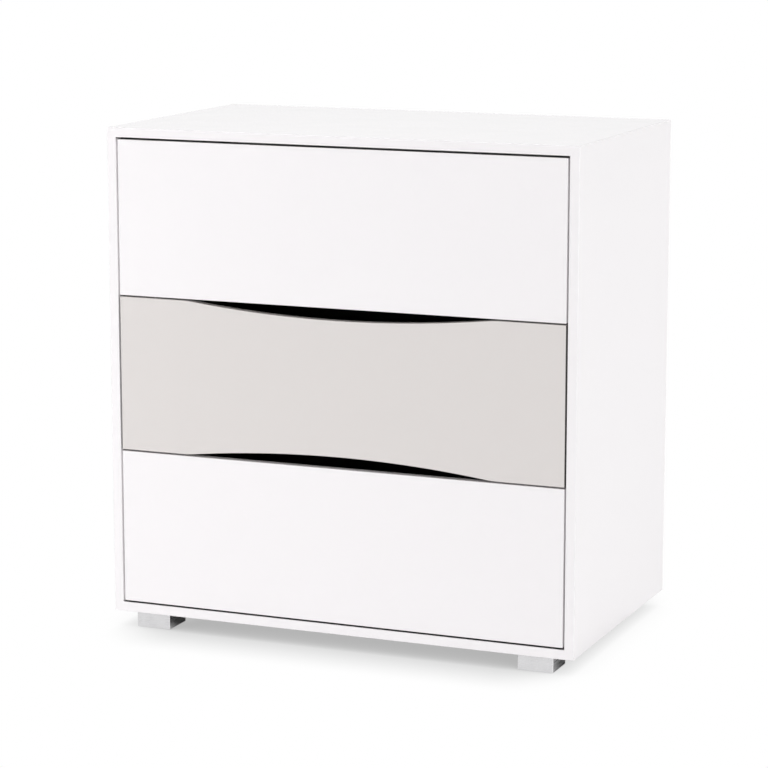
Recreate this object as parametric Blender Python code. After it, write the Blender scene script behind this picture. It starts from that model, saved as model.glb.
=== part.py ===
"""Chest of three drawers with inset fronts and two finger slots.

Four mitred boards make the carcass, with a thin back in a groove and four square metal
feet. The three fronts lie flush in the carcass. The middle front is scooped out along
its upper and lower edge, which leaves a finger slot against each plain neighbour, so
the chest needs no handles. Each drawer box runs on two telescopic ball runners: a rail
on the carcass, an intermediate rail that moves half as far as the drawer, a rail on the box,
and a ball cage in each of the two spaces between the rails.

Metres, +Z up. The origin lies on the floor under the middle of the carcass, and the
fronts face -Y.
"""

import math

import bmesh
import bpy

# Carcass
CARCASS_WIDTH = 0.900
CARCASS_HEIGHT = 0.900
CARCASS_DEPTH = 0.530
BOARD = 0.018
CORNER_RADIUS = 0.0015
EDGE_RADIUS = 0.0010
MITRE_GAP = 0.0003
FIT_GAP = 0.0003

# Back panel, held in a groove that runs round the four boards
BACK_PANEL = 0.003
BACK_INSET = 0.012
BACK_GROOVE = 0.008

# Feet: a square metal sleeve round a ribbed plastic core that stands on the floor
FOOT_SIDE = 0.067
FOOT_HEIGHT = 0.030
FOOT_RECESS = 0.010
FOOT_INSET = 0.041
FOOT_CORNER_RADIUS = 0.0020
SLEEVE_WALL = 0.0025
SLEEVE_LIFT = 0.0006
SLEEVE_EDGE = 0.0004
CORE_WALL = 0.0050
CORE_RIB = 0.0040
CORE_PLATE = 0.0060
CORE_POCKET_RADIUS = 0.0030
CORE_BOSS_DIAMETER = 0.018
CORE_SCREW_DIAMETER = 0.0065
CORE_BORE_DIAMETER = 0.011
CORE_BORE_DEPTH = 0.016

# Drawer fronts
FRONT_BOARD = 0.018
FRONT_GAP = 0.003
SCOOP_CHORD = 0.590
SCOOP_DEPTH = 0.019
SCOOP_BLEND_RADIUS = 0.200

# Drawer boxes
BOX_BOARD = 0.012
BOX_EDGE = 0.0006
BOX_RISE = 0.030
BOX_HEADROOM = 0.050
BOX_REAR_SPACE = 0.047
BOX_BOTTOM = 0.003
BOX_BOTTOM_RISE = 0.010
BOX_GROOVE = 0.006

# Telescopic ball runners
RAIL_HEIGHT = 0.045
RAIL_SHEET = 0.0012
RAIL_BEND = 0.0006
RAIL_SETBACK = 0.002
RAIL_LIP = 0.0008
RAIL_AXIS_RISE = 0.070
RAIL_HOLE_PITCH = 0.192
RAIL_SCREW_HOLE = 0.0052
RAIL_ACCESS_HOLE = 0.0095
BALL_DIAMETER = 0.0032
RACE_CLEARANCE = 0.00015
RACE_DEPTH = 0.0006
RACE_SPACING = 0.0006
CAGE_SHEET = 0.0004
CAGE_CLEARANCE = 0.0003
CAGE_LENGTH = 0.180
CAGE_BALL_PITCH = 0.050

# How finely the round forms are cut
CORNER_STEPS = 3
EDGE_STEPS = 2
SCOOP_STEPS = 22
BLEND_STEPS = 4
RACE_STEPS = 4
BEND_STEPS = 1
POCKET_STEPS = 3
HOLE_STEPS = 16
RAIL_HOLE_STEPS = 8
RAIL_HOLES = 3
BALLS_PER_ROW = 4
BALL_SEGMENTS = 6
BALL_RINGS = 4

# One overrun takes every cutter clear of the face that it opens.
OVERRUN = 0.002

DRAWER_LEVELS = ("bottom", "middle", "top")
SCOOPED_LEVEL = "middle"
SIDES = {"left": -1, "right": 1}
ENDS = {"front": -1, "back": 1}

# Each finish: linear red, green and blue, then roughness and metallic value.
FINISHES = {
    "white_lacquer": (0.90, 0.89, 0.89, 0.20, 0.0),
    "greige_lacquer": (0.72, 0.68, 0.66, 0.18, 0.0),
    "white_hardboard": (0.82, 0.81, 0.79, 0.55, 0.0),
    "graphite_board": (0.020, 0.020, 0.022, 0.50, 0.0),
    "graphite_hardboard": (0.016, 0.016, 0.018, 0.60, 0.0),
    "brushed_aluminium": (0.62, 0.62, 0.63, 0.32, 1.0),
    "black_plastic": (0.020, 0.020, 0.020, 0.45, 0.0),
    "zinc_steel": (0.55, 0.56, 0.58, 0.30, 1.0),
    "cage_steel": (0.42, 0.42, 0.44, 0.25, 1.0),
}

# Places worked out from the sizes above
FRONT_FACE_Y = -CARCASS_DEPTH / 2.0
BACK_FACE_Y = CARCASS_DEPTH / 2.0
CARCASS_BASE_Z = FOOT_HEIGHT
INNER_WIDTH = CARCASS_WIDTH - 2.0 * BOARD
INNER_HEIGHT = CARCASS_HEIGHT - 2.0 * BOARD
INNER_BASE_Z = CARCASS_BASE_Z + BOARD
BACK_PANEL_Y = BACK_FACE_Y - BACK_INSET - BACK_PANEL

FRONT_WIDTH = INNER_WIDTH - 2.0 * FRONT_GAP
FRONT_HEIGHT = (INNER_HEIGHT - (len(DRAWER_LEVELS) + 1) * FRONT_GAP) / len(DRAWER_LEVELS)
FRONT_PITCH = FRONT_HEIGHT + FRONT_GAP

# Section of the runner, as distances from the carcass wall and from the runner's axis
RACE_RADIUS = BALL_DIAMETER / 2.0 + RACE_CLEARANCE
RACE_PATH_RADIUS = RACE_RADIUS + RAIL_SHEET / 2.0
RACE_TO_FLANGE = RACE_PATH_RADIUS - RACE_DEPTH
RACE_HALF_WIDTH = math.sqrt(RACE_PATH_RADIUS ** 2 - RACE_TO_FLANGE ** 2)
CABINET_WEB = RAIL_SHEET / 2.0
OUTER_CAGE_WEB = RAIL_SHEET + CAGE_CLEARANCE + CAGE_SHEET / 2.0
MIDDLE_WEB = OUTER_CAGE_WEB + CAGE_SHEET / 2.0 + CAGE_CLEARANCE + RAIL_SHEET / 2.0
INNER_CAGE_WEB = MIDDLE_WEB + RAIL_SHEET / 2.0 + CAGE_CLEARANCE + CAGE_SHEET / 2.0
OUTER_ROW = MIDDLE_WEB + RAIL_BEND + RACE_SPACING + RACE_HALF_WIDTH
INNER_ROW = OUTER_ROW + 2.0 * RACE_HALF_WIDTH + RACE_SPACING
DRAWER_WEB = INNER_ROW + BALL_DIAMETER / 2.0 + 2.0 * CAGE_CLEARANCE + RAIL_SHEET / 2.0
RUNNER_THICKNESS = DRAWER_WEB + RAIL_SHEET / 2.0
CABINET_FLANGE = RAIL_HEIGHT / 2.0 - RAIL_SHEET / 2.0 - RACE_DEPTH
OUTER_ROW_RISE = CABINET_FLANGE - RACE_TO_FLANGE
MIDDLE_FLANGE = OUTER_ROW_RISE - RACE_TO_FLANGE
INNER_ROW_RISE = MIDDLE_FLANGE - RACE_TO_FLANGE
DRAWER_FLANGE = INNER_ROW_RISE - RACE_TO_FLANGE

BOX_WIDTH = INNER_WIDTH - 2.0 * (RUNNER_THICKNESS + 2.0 * FIT_GAP)
BOX_HEIGHT = FRONT_HEIGHT - BOX_RISE - BOX_HEADROOM
BOX_FRONT_Y = FRONT_FACE_Y + FRONT_BOARD + FIT_GAP
BOX_LENGTH = BACK_PANEL_Y - BOX_REAR_SPACE - BOX_FRONT_Y
RUNNER_LENGTH = BOX_LENGTH - RAIL_SETBACK


def clear_scene():
    """Remove every object that the scene holds."""
    for item in list(bpy.data.objects):
        bpy.data.objects.remove(item)


def finish(name):
    """Return the material of a named finish, made at its first use."""
    material = bpy.data.materials.get(name)
    if material is None:
        red, green, blue, roughness, metallic = FINISHES[name]
        material = bpy.data.materials.new(name)
        material.use_nodes = True
        shader = material.node_tree.nodes["Principled BSDF"]
        shader.inputs["Base Color"].default_value = (red, green, blue, 1.0)
        shader.inputs["Roughness"].default_value = roughness
        shader.inputs["Metallic"].default_value = metallic
        material.diffuse_color = (red, green, blue, 1.0)
    return material


def mesh_of(shape, name):
    """Turn a bmesh into a mesh whose faces point out."""
    bmesh.ops.recalc_face_normals(shape, faces=shape.faces)
    mesh = bpy.data.meshes.new(name)
    shape.to_mesh(mesh)
    shape.free()
    return mesh


def add_prism(shape, outline, length, axis="Y", start=(0.0, 0.0, 0.0)):
    """Add a prism: an outline in the plane square to an axis, run along that axis."""
    across, along, up = start
    if axis == "X":
        corners = [(across, along + a, up + b) for a, b in outline]
        step = (length, 0.0, 0.0)
    elif axis == "Y":
        corners = [(across + a, along, up + b) for a, b in outline]
        step = (0.0, length, 0.0)
    else:
        corners = [(across + a, along + b, up) for a, b in outline]
        step = (0.0, 0.0, length)
    face = shape.faces.new([shape.verts.new(corner) for corner in corners])
    raised = bmesh.ops.extrude_face_region(shape, geom=[face])
    moved = [item for item in raised["geom"] if isinstance(item, bmesh.types.BMVert)]
    bmesh.ops.translate(shape, vec=step, verts=moved)


def prism(name, outline, length, axis="Y", start=(0.0, 0.0, 0.0)):
    """Return a single prism as a mesh."""
    shape = bmesh.new()
    add_prism(shape, outline, length, axis, start)
    return mesh_of(shape, name)


def rectangle(low, high):
    """Return the four corners between a low and a high corner."""
    return [low, (high[0], low[1]), high, (low[0], high[1])]


def board(name, width, length, height):
    """Return a plain board: centred on X, from Y zero back and from Z zero up."""
    return prism(name, rectangle((-width / 2.0, 0.0), (width / 2.0, height)), length)


def arc(centre, radius, first, last, steps):
    """Return the points of an arc, its angles in radians from the first axis."""
    points = []
    for step in range(steps + 1):
        angle = first + (last - first) * step / steps
        points.append((centre[0] + radius * math.cos(angle), centre[1] + radius * math.sin(angle)))
    return points


def circle(centre, diameter, steps):
    """Return the points of a full circle."""
    return arc(centre, diameter / 2.0, 0.0, math.tau, steps)[:-1]


def rounded_square(side, radius, steps, centre=(0.0, 0.0)):
    """Return a square outline with round corners."""
    reach = side / 2.0 - radius
    points = []
    for index, (across, along) in enumerate(((1, 1), (-1, 1), (-1, -1), (1, -1))):
        corner = (centre[0] + across * reach, centre[1] + along * reach)
        first = index * math.pi / 2.0
        points.extend(arc(corner, radius, first, first + math.pi / 2.0, steps))
    return points


def shaped(mesh, edge_radius=0.0, edge_steps=1, marked=False, cutter=None, added=None):
    """Return the mesh with round edges, then cut by one mesh and joined to another.

    With marked set, only the edges that carry a bevel weight are rounded.
    """
    worker = bpy.data.objects.new("worker", mesh)
    bpy.context.collection.objects.link(worker)
    helpers = [worker]
    if edge_radius > 0.0:
        bevel = worker.modifiers.new("edges", "BEVEL")
        bevel.width = edge_radius
        bevel.segments = edge_steps
        bevel.limit_method = "WEIGHT" if marked else "ANGLE"
        bevel.angle_limit = math.radians(40.0)
    for operation, other in (("DIFFERENCE", cutter), ("UNION", added)):
        if other is None:
            continue
        helper = bpy.data.objects.new("helper", other)
        helper.hide_render = True
        helper.display_type = "WIRE"
        bpy.context.collection.objects.link(helper)
        helpers.append(helper)
        boolean = worker.modifiers.new(operation.lower(), "BOOLEAN")
        boolean.operation = operation
        boolean.solver = "EXACT"
        boolean.object = helper
    bpy.context.view_layer.update()
    graph = bpy.context.evaluated_depsgraph_get()
    result = bpy.data.meshes.new_from_object(worker.evaluated_get(graph))
    for helper in helpers:
        bpy.data.objects.remove(helper)
    return result


def rig(name, location, parent=None):
    """Add an empty that carries the pieces of one body."""
    empty = bpy.data.objects.new(name, None)
    empty.empty_display_size = BOARD
    empty.location = location
    empty.parent = parent
    bpy.context.collection.objects.link(empty)
    return empty


def piece(name, mesh, material, place, parent, turn=(0.0, 0.0, 0.0)):
    """Add one named solid at a place in the world, carried by its body's empty."""
    item = bpy.data.objects.new(name, mesh.copy())
    item.data.name = name
    item.data.materials.clear()
    item.data.materials.append(finish(material))
    item.rotation_euler = turn
    item.parent = parent
    base = parent.location
    item.location = [place[axis] - base[axis] for axis in range(3)]
    bpy.context.collection.objects.link(item)
    return item


def smooth(mesh):
    """Shade the round forms of a mesh smooth and leave its corners sharp."""
    mesh.shade_smooth()
    mesh.set_sharp_from_angle(angle=math.radians(35.0))
    return mesh


def mitred_outline(length):
    """Return the section of a carcass board: outer face on Z zero, mitred at both ends.

    The outer corner of the carcass is round, and each board holds its half of the arc.
    """
    half = length / 2.0
    shift = MITRE_GAP / math.sqrt(2.0)
    cut = math.pi / 4.0 + math.asin(shift / (CORNER_RADIUS * math.sqrt(2.0)))
    corner = arc((half - CORNER_RADIUS, -CORNER_RADIUS), CORNER_RADIUS, cut, math.pi / 2.0, CORNER_STEPS)
    right = [(half - BOARD - shift, -BOARD)] + corner
    left = [(-across, up) for across, up in reversed(right)]
    return right + left


def carcass_board(name, length):
    """Return a mitred board with its long edges rounded and the groove for the back."""
    shape = bmesh.new()
    add_prism(shape, mitred_outline(length), CARCASS_DEPTH)
    weight = shape.edges.layers.float.new("bevel_weight_edge")
    for edge in shape.edges:
        first, last = (vertex.co for vertex in edge.verts)
        on_one_end = math.isclose(first.y, last.y, abs_tol=FIT_GAP)
        across_mitre = abs(first.z - last.z) > BOARD / 2.0
        if on_one_end and not across_mitre:
            edge[weight] = 1.0
    groove = bmesh.new()
    section = rectangle((-length / 2.0, -BOARD - OVERRUN), (length / 2.0, -BOARD + BACK_GROOVE))
    start_y = BACK_PANEL_Y - FIT_GAP - FRONT_FACE_Y
    add_prism(groove, section, BACK_PANEL + 2.0 * FIT_GAP, start=(0.0, start_y, 0.0))
    return shaped(
        mesh_of(shape, name),
        edge_radius=EDGE_RADIUS,
        edge_steps=EDGE_STEPS,
        marked=True,
        cutter=mesh_of(groove, "groove"),
    )


def build_carcass(body):
    """Build the four mitred boards and the back panel."""
    flat = smooth(carcass_board("level_board", CARCASS_WIDTH))
    upright = smooth(carcass_board("upright_board", CARCASS_HEIGHT))
    middle_z = CARCASS_BASE_Z + CARCASS_HEIGHT / 2.0
    top_z = CARCASS_BASE_Z + CARCASS_HEIGHT
    half = CARCASS_WIDTH / 2.0
    right_angle = math.pi / 2.0
    piece("carcass_top", flat, "white_lacquer", (0.0, FRONT_FACE_Y, top_z), body)
    piece("carcass_bottom", flat, "white_lacquer", (0.0, FRONT_FACE_Y, CARCASS_BASE_Z), body,
          turn=(0.0, math.pi, 0.0))
    for side, sign in SIDES.items():
        piece(f"carcass_side_{side}", upright, "white_lacquer", (sign * half, FRONT_FACE_Y, middle_z),
              body, turn=(0.0, sign * right_angle, 0.0))
    reach = BACK_GROOVE - FIT_GAP
    panel = board("panel", INNER_WIDTH + 2.0 * reach, BACK_PANEL, INNER_HEIGHT + 2.0 * reach)
    piece("back_panel", panel, "white_hardboard", (0.0, BACK_PANEL_Y, INNER_BASE_Z - reach), body)


def foot_sleeve():
    """Return the metal sleeve of a foot, open above and below."""
    shape = prism("sleeve", rounded_square(FOOT_SIDE, FOOT_CORNER_RADIUS, CORNER_STEPS),
                  FOOT_HEIGHT - FIT_GAP - SLEEVE_LIFT, axis="Z")
    reach = FOOT_SIDE / 2.0 - SLEEVE_WALL
    inside = prism("inside", rectangle((-reach, -reach), (reach, reach)), FOOT_HEIGHT + 2.0 * OVERRUN,
                   axis="Z", start=(0.0, 0.0, -OVERRUN))
    return shaped(shape, edge_radius=SLEEVE_EDGE, cutter=inside)


def foot_core():
    """Return the plastic core of a foot: a plate on a rim, four ribs and a bored screw boss."""
    side = FOOT_SIDE - 2.0 * (SLEEVE_WALL + FIT_GAP)
    height = FOOT_HEIGHT - FIT_GAP
    block = prism("core", rectangle((-side / 2.0, -side / 2.0), (side / 2.0, side / 2.0)), height, axis="Z")
    pocket_side = (side - 2.0 * CORE_WALL - CORE_RIB) / 2.0
    offset = (pocket_side + CORE_RIB) / 2.0
    pockets = bmesh.new()
    for across in SIDES.values():
        for along in ENDS.values():
            outline = rounded_square(pocket_side, CORE_POCKET_RADIUS, POCKET_STEPS,
                                     (across * offset, along * offset))
            add_prism(pockets, outline, height - CORE_PLATE + OVERRUN, axis="Z", start=(0.0, 0.0, -OVERRUN))
    core = shaped(block, cutter=mesh_of(pockets, "pockets"))
    centre = (0.0, 0.0)
    boss = prism("boss", circle(centre, CORE_BOSS_DIAMETER, HOLE_STEPS), height - CORE_PLATE / 2.0, axis="Z")
    core = shaped(core, added=boss)
    for diameter, depth in ((CORE_SCREW_DIAMETER, height + OVERRUN), (CORE_BORE_DIAMETER, CORE_BORE_DEPTH)):
        bore = prism("bore", circle(centre, diameter, HOLE_STEPS), depth + OVERRUN, axis="Z",
                     start=(0.0, 0.0, -OVERRUN))
        core = shaped(core, cutter=bore)
    return core


def build_feet(body):
    """Build a sleeve and a core under each corner of the carcass."""
    sleeve = smooth(foot_sleeve())
    core = foot_core()
    across = CARCASS_WIDTH / 2.0 - FOOT_INSET - FOOT_SIDE / 2.0
    along = CARCASS_DEPTH / 2.0 - FOOT_RECESS - FOOT_SIDE / 2.0
    for end, end_sign in ENDS.items():
        for side, side_sign in SIDES.items():
            place = (side_sign * across, end_sign * along)
            piece(f"foot_sleeve_{end}_{side}", sleeve, "brushed_aluminium", (*place, SLEEVE_LIFT), body)
            piece(f"foot_core_{end}_{side}", core, "black_plastic", (*place, 0.0), body)


def scooped_edge():
    """Return the points of a scooped upper edge, from right to left, at height zero.

    A long arc dips by the scoop's depth, and a short arc of opposite curve leads from
    the straight edge into it at each end.
    """
    radius = SCOOP_CHORD ** 2 / (8.0 * SCOOP_DEPTH) + SCOOP_DEPTH / 2.0
    between = radius + SCOOP_BLEND_RADIUS
    start = math.sqrt(between ** 2 - (between - SCOOP_DEPTH) ** 2)
    lean = math.asin(start / between)
    blend = arc((start, -SCOOP_BLEND_RADIUS), SCOOP_BLEND_RADIUS, math.pi / 2.0, math.pi / 2.0 + lean,
                BLEND_STEPS)
    down = -math.pi / 2.0
    sweep = arc((0.0, radius - SCOOP_DEPTH), radius, down + lean, down - lean, SCOOP_STEPS)
    far_blend = [(-across, up) for across, up in reversed(blend)]
    return blend + sweep[1:-1] + far_blend


def front_outline(scooped):
    """Return the outline of a front, its lower edge on Z zero."""
    half = FRONT_WIDTH / 2.0
    if not scooped:
        return rectangle((-half, 0.0), (half, FRONT_HEIGHT))
    edge = scooped_edge()
    upper = [(across, FRONT_HEIGHT + up) for across, up in edge]
    lower = [(across, -up) for across, up in reversed(edge)]
    return [(-half, 0.0)] + lower + [(half, 0.0), (half, FRONT_HEIGHT)] + upper + [(-half, FRONT_HEIGHT)]


def box_bottom_size():
    """Return the width and length of a drawer's bottom panel."""
    reach = BOX_GROOVE - FIT_GAP
    width = BOX_WIDTH - 2.0 * BOX_BOARD + 2.0 * reach
    return width, BOX_LENGTH + FIT_GAP + reach


def drawer_front(scooped):
    """Return a front with rounded edges and the groove for the drawer's bottom."""
    width, _ = box_bottom_size()
    low = BOX_RISE + BOX_BOTTOM_RISE - FIT_GAP
    section = rectangle((-width / 2.0 - FIT_GAP, low),
                        (width / 2.0 + FIT_GAP, low + BOX_BOTTOM + 2.0 * FIT_GAP))
    groove = bmesh.new()
    add_prism(groove, section, BOX_GROOVE + OVERRUN, start=(0.0, FRONT_BOARD - BOX_GROOVE, 0.0))
    return shaped(
        prism("front", front_outline(scooped), FRONT_BOARD),
        edge_radius=EDGE_RADIUS,
        edge_steps=EDGE_STEPS,
        cutter=mesh_of(groove, "groove"),
    )


def box_side(side_sign):
    """Return a box side, centred on X, with the groove for the bottom on its inner face."""
    inner_x = -side_sign * BOX_BOARD / 2.0
    floor_x = inner_x + side_sign * BOX_GROOVE
    open_x = inner_x - side_sign * OVERRUN
    low = BOX_BOTTOM_RISE - FIT_GAP
    section = rectangle((min(floor_x, open_x), low),
                        (max(floor_x, open_x), low + BOX_BOTTOM + 2.0 * FIT_GAP))
    groove = bmesh.new()
    add_prism(groove, section, BOX_LENGTH + 2.0 * OVERRUN, start=(0.0, -OVERRUN, 0.0))
    return shaped(board("side", BOX_BOARD, BOX_LENGTH, BOX_HEIGHT), edge_radius=BOX_EDGE,
                  cutter=mesh_of(groove, "groove"))


def build_drawer(level, index, body):
    """Build the front, the two sides, the back and the bottom of one drawer."""
    base_z = INNER_BASE_Z + FRONT_GAP + index * FRONT_PITCH
    box_z = base_z + BOX_RISE
    front = smooth(drawer_front(level == SCOOPED_LEVEL))
    lacquer = "greige_lacquer" if level == SCOOPED_LEVEL else "white_lacquer"
    piece(f"drawer_{level}_front", front, lacquer, (0.0, FRONT_FACE_Y, base_z), body)
    for side, sign in SIDES.items():
        across = sign * (BOX_WIDTH - BOX_BOARD) / 2.0
        piece(f"drawer_{level}_side_{side}", box_side(sign), "graphite_board",
              (across, BOX_FRONT_Y, box_z), body)
    bottom_width, bottom_length = box_bottom_size()
    bottom = board("bottom", bottom_width, bottom_length, BOX_BOTTOM)
    bottom_y = BOX_FRONT_Y + BOX_LENGTH - bottom_length
    piece(f"drawer_{level}_bottom", bottom, "graphite_hardboard",
          (0.0, bottom_y, box_z + BOX_BOTTOM_RISE), body)
    back_rise = BOX_BOTTOM_RISE + BOX_BOTTOM + FIT_GAP
    back = shaped(board("back", BOX_WIDTH - 2.0 * (BOX_BOARD + FIT_GAP), BOX_BOARD, BOX_HEIGHT - back_rise),
                  edge_radius=BOX_EDGE)
    piece(f"drawer_{level}_back", back, "graphite_board",
          (0.0, BOX_FRONT_Y + BOX_LENGTH - BOX_BOARD, box_z + back_rise), body)


def race(centre, direction):
    """Return the arc that a flange follows round a row of balls, away from the wall."""
    half_angle = math.acos(RACE_TO_FLANGE / RACE_PATH_RADIUS)
    middle = direction * math.pi / 2.0
    return arc(centre, RACE_PATH_RADIUS, middle + direction * half_angle, middle - direction * half_angle,
               RACE_STEPS)


def channel_path(web, tip, flange, races=()):
    """Return the middle line of a channel: upper flange, web and lower flange.

    The web stands at one distance from the wall, and the flanges reach from it to the
    tip. The races are listed from the tip to the web, each with its points in order.
    """
    facing = 1.0 if tip > web else -1.0
    upper = [(tip, flange)]
    for points in races:
        upper.extend(points)
    bend_centre = (web + facing * RAIL_BEND, flange - RAIL_BEND)
    upper.extend(arc(bend_centre, RAIL_BEND, math.pi / 2.0, math.pi / 2.0 + facing * math.pi / 2.0,
                     BEND_STEPS))
    return upper + [(across, -up) for across, up in reversed(upper)]


def thickened(path, thickness):
    """Return the closed outline of a sheet of even thickness along a path."""
    left = []
    right = []
    for index, (across, up) in enumerate(path):
        before = path[max(index - 1, 0)]
        after = path[min(index + 1, len(path) - 1)]
        normals = []
        for first, last in ((before, (across, up)), ((across, up), after)):
            run = math.hypot(last[0] - first[0], last[1] - first[1])
            if run > 0.0:
                normals.append(((first[1] - last[1]) / run, (last[0] - first[0]) / run))
        mean = [sum(normal[axis] for normal in normals) / len(normals) for axis in (0, 1)]
        reach = thickness / 2.0 / (mean[0] ** 2 + mean[1] ** 2)
        left.append((across + mean[0] * reach, up + mean[1] * reach))
        right.append((across - mean[0] * reach, up - mean[1] * reach))
    return left + right[::-1]


def rail(name, path, web, hole_diameter):
    """Return a rail of folded sheet, centred on Y, with a row of holes through its web."""
    sheet = prism(name, thickened(path, RAIL_SHEET), RUNNER_LENGTH, start=(0.0, -RUNNER_LENGTH / 2.0, 0.0))
    drills = bmesh.new()
    for number in range(RAIL_HOLES):
        along = (number - (RAIL_HOLES - 1) / 2.0) * RAIL_HOLE_PITCH
        add_prism(drills, circle((along, 0.0), hole_diameter, RAIL_HOLE_STEPS), 2.0 * OVERRUN, axis="X",
                  start=(web - OVERRUN, 0.0, 0.0))
    return smooth(shaped(sheet, cutter=mesh_of(drills, "drills")))


def ball_cage(name, web, row, row_rise):
    """Return a cage: a thin channel with a row of balls held in each flange."""
    tip = row + BALL_DIAMETER / 2.0 + CAGE_CLEARANCE
    strip = prism(name, thickened(channel_path(web, tip, row_rise), CAGE_SHEET), CAGE_LENGTH,
                  start=(0.0, -CAGE_LENGTH / 2.0, 0.0))
    balls = bmesh.new()
    for number in range(BALLS_PER_ROW):
        along = (number - (BALLS_PER_ROW - 1) / 2.0) * CAGE_BALL_PITCH
        for up in (row_rise, -row_rise):
            ball = bmesh.ops.create_uvsphere(balls, u_segments=BALL_SEGMENTS, v_segments=BALL_RINGS,
                                             radius=BALL_DIAMETER / 2.0)
            bmesh.ops.translate(balls, vec=(row, along, up), verts=ball["verts"])
    return smooth(shaped(strip, added=mesh_of(balls, "balls")))


def runner_meshes():
    """Return the five meshes of a runner, the distance from the wall along +X."""
    cabinet = channel_path(CABINET_WEB, OUTER_ROW + 2.0 * RACE_HALF_WIDTH, CABINET_FLANGE,
                           [race((OUTER_ROW, OUTER_ROW_RISE), 1.0)[::-1]])
    middle = channel_path(MIDDLE_WEB, INNER_ROW + RACE_HALF_WIDTH + RAIL_LIP, MIDDLE_FLANGE,
                          [race((INNER_ROW, INNER_ROW_RISE), 1.0)[::-1],
                           race((OUTER_ROW, OUTER_ROW_RISE), -1.0)[::-1]])
    drawer = channel_path(DRAWER_WEB, INNER_ROW - RACE_HALF_WIDTH - RAIL_LIP, DRAWER_FLANGE,
                          [race((INNER_ROW, INNER_ROW_RISE), -1.0)])
    return {
        "cabinet_rail": rail("cabinet_rail", cabinet, CABINET_WEB, RAIL_SCREW_HOLE),
        "intermediate_rail": rail("intermediate_rail", middle, MIDDLE_WEB, RAIL_ACCESS_HOLE),
        "drawer_rail": rail("drawer_rail", drawer, DRAWER_WEB, RAIL_SCREW_HOLE),
        "outer_cage": ball_cage("outer_cage", OUTER_CAGE_WEB, OUTER_ROW, OUTER_ROW_RISE),
        "inner_cage": ball_cage("inner_cage", INNER_CAGE_WEB, INNER_ROW, INNER_ROW_RISE),
    }


def build_runners(level, index, meshes, bodies):
    """Place the rails and cages of the two runners that carry one drawer."""
    axis_z = INNER_BASE_Z + FRONT_GAP + index * FRONT_PITCH + BOX_RISE + RAIL_AXIS_RISE
    middle_y = BOX_FRONT_Y + RAIL_SETBACK + RUNNER_LENGTH / 2.0
    for side, sign in SIDES.items():
        wall_x = sign * (INNER_WIDTH / 2.0 - FIT_GAP)
        turn = (0.0, 0.0, math.pi if sign > 0.0 else 0.0)
        for part_name, mesh in meshes.items():
            metal = "cage_steel" if part_name.endswith("cage") else "zinc_steel"
            piece(f"runner_{level}_{side}_{part_name}", mesh, metal, (wall_x, middle_y, axis_z),
                  bodies[part_name], turn=turn)


def main():
    """Build the chest: carcass and feet, then each drawer with its runners."""
    clear_scene()
    carcass = rig("body_carcass", (0.0, 0.0, 0.0))
    build_carcass(carcass)
    build_feet(carcass)
    meshes = runner_meshes()
    for index, level in enumerate(DRAWER_LEVELS):
        place = (0.0, FRONT_FACE_Y, INNER_BASE_Z + FRONT_GAP + index * FRONT_PITCH)
        drawer = rig(f"body_drawer_{level}", place, carcass)
        bodies = {
            "cabinet_rail": carcass,
            "intermediate_rail": rig(f"body_intermediate_rails_{level}", place, carcass),
            "drawer_rail": drawer,
            "outer_cage": rig(f"body_outer_cages_{level}", place, carcass),
            "inner_cage": rig(f"body_inner_cages_{level}", place, carcass),
        }
        build_drawer(level, index, drawer)
        build_runners(level, index, meshes, bodies)
    bpy.context.view_layer.update()


if __name__ == "__main__":
    main()
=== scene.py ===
"""Looks of a chest of three drawers, white gloss with one greige front between two finger slots.

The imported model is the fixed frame. This script gives each of its solids a finish, stands detailed
ball cages in for the plain ones, adds the fittings that show when a drawer is open or the chest is
seen from behind or below, and sets up a plain studio. Metres, +Z up, fronts towards -Y.
"""

import logging
import math
from collections.abc import Mapping, Sequence
from dataclasses import dataclass
from enum import Enum
from functools import cache

import bmesh
import bpy
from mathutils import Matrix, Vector


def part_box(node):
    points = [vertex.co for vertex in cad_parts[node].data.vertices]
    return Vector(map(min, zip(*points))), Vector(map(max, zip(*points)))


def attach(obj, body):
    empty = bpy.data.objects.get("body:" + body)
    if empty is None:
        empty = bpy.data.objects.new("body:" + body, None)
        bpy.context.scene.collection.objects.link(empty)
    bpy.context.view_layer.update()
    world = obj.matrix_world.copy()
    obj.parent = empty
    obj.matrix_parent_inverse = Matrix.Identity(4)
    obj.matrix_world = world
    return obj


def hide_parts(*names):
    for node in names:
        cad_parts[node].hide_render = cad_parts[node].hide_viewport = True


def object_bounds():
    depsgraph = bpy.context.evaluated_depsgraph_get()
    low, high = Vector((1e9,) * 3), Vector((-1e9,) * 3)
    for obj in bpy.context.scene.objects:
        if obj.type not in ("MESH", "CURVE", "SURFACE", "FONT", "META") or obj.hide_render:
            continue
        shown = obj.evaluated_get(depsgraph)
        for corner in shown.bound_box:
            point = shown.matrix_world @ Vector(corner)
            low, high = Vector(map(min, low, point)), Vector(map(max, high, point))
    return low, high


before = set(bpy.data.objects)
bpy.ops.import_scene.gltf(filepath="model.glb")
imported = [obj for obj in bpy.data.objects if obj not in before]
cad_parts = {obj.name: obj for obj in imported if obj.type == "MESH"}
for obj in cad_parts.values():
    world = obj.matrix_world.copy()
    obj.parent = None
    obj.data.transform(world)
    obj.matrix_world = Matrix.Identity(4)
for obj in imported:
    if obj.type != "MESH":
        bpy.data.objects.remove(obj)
CAD_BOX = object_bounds()
FRONT_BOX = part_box("drawer_top_front")

LOG = logging.getLogger("chest_of_drawers")

Rgb = tuple[float, float, float]
Flat = tuple[float, float]
Space = tuple[float, float, float]
Setting = object
Sockets = Mapping[str | int, bpy.types.NodeSocket]

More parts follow.
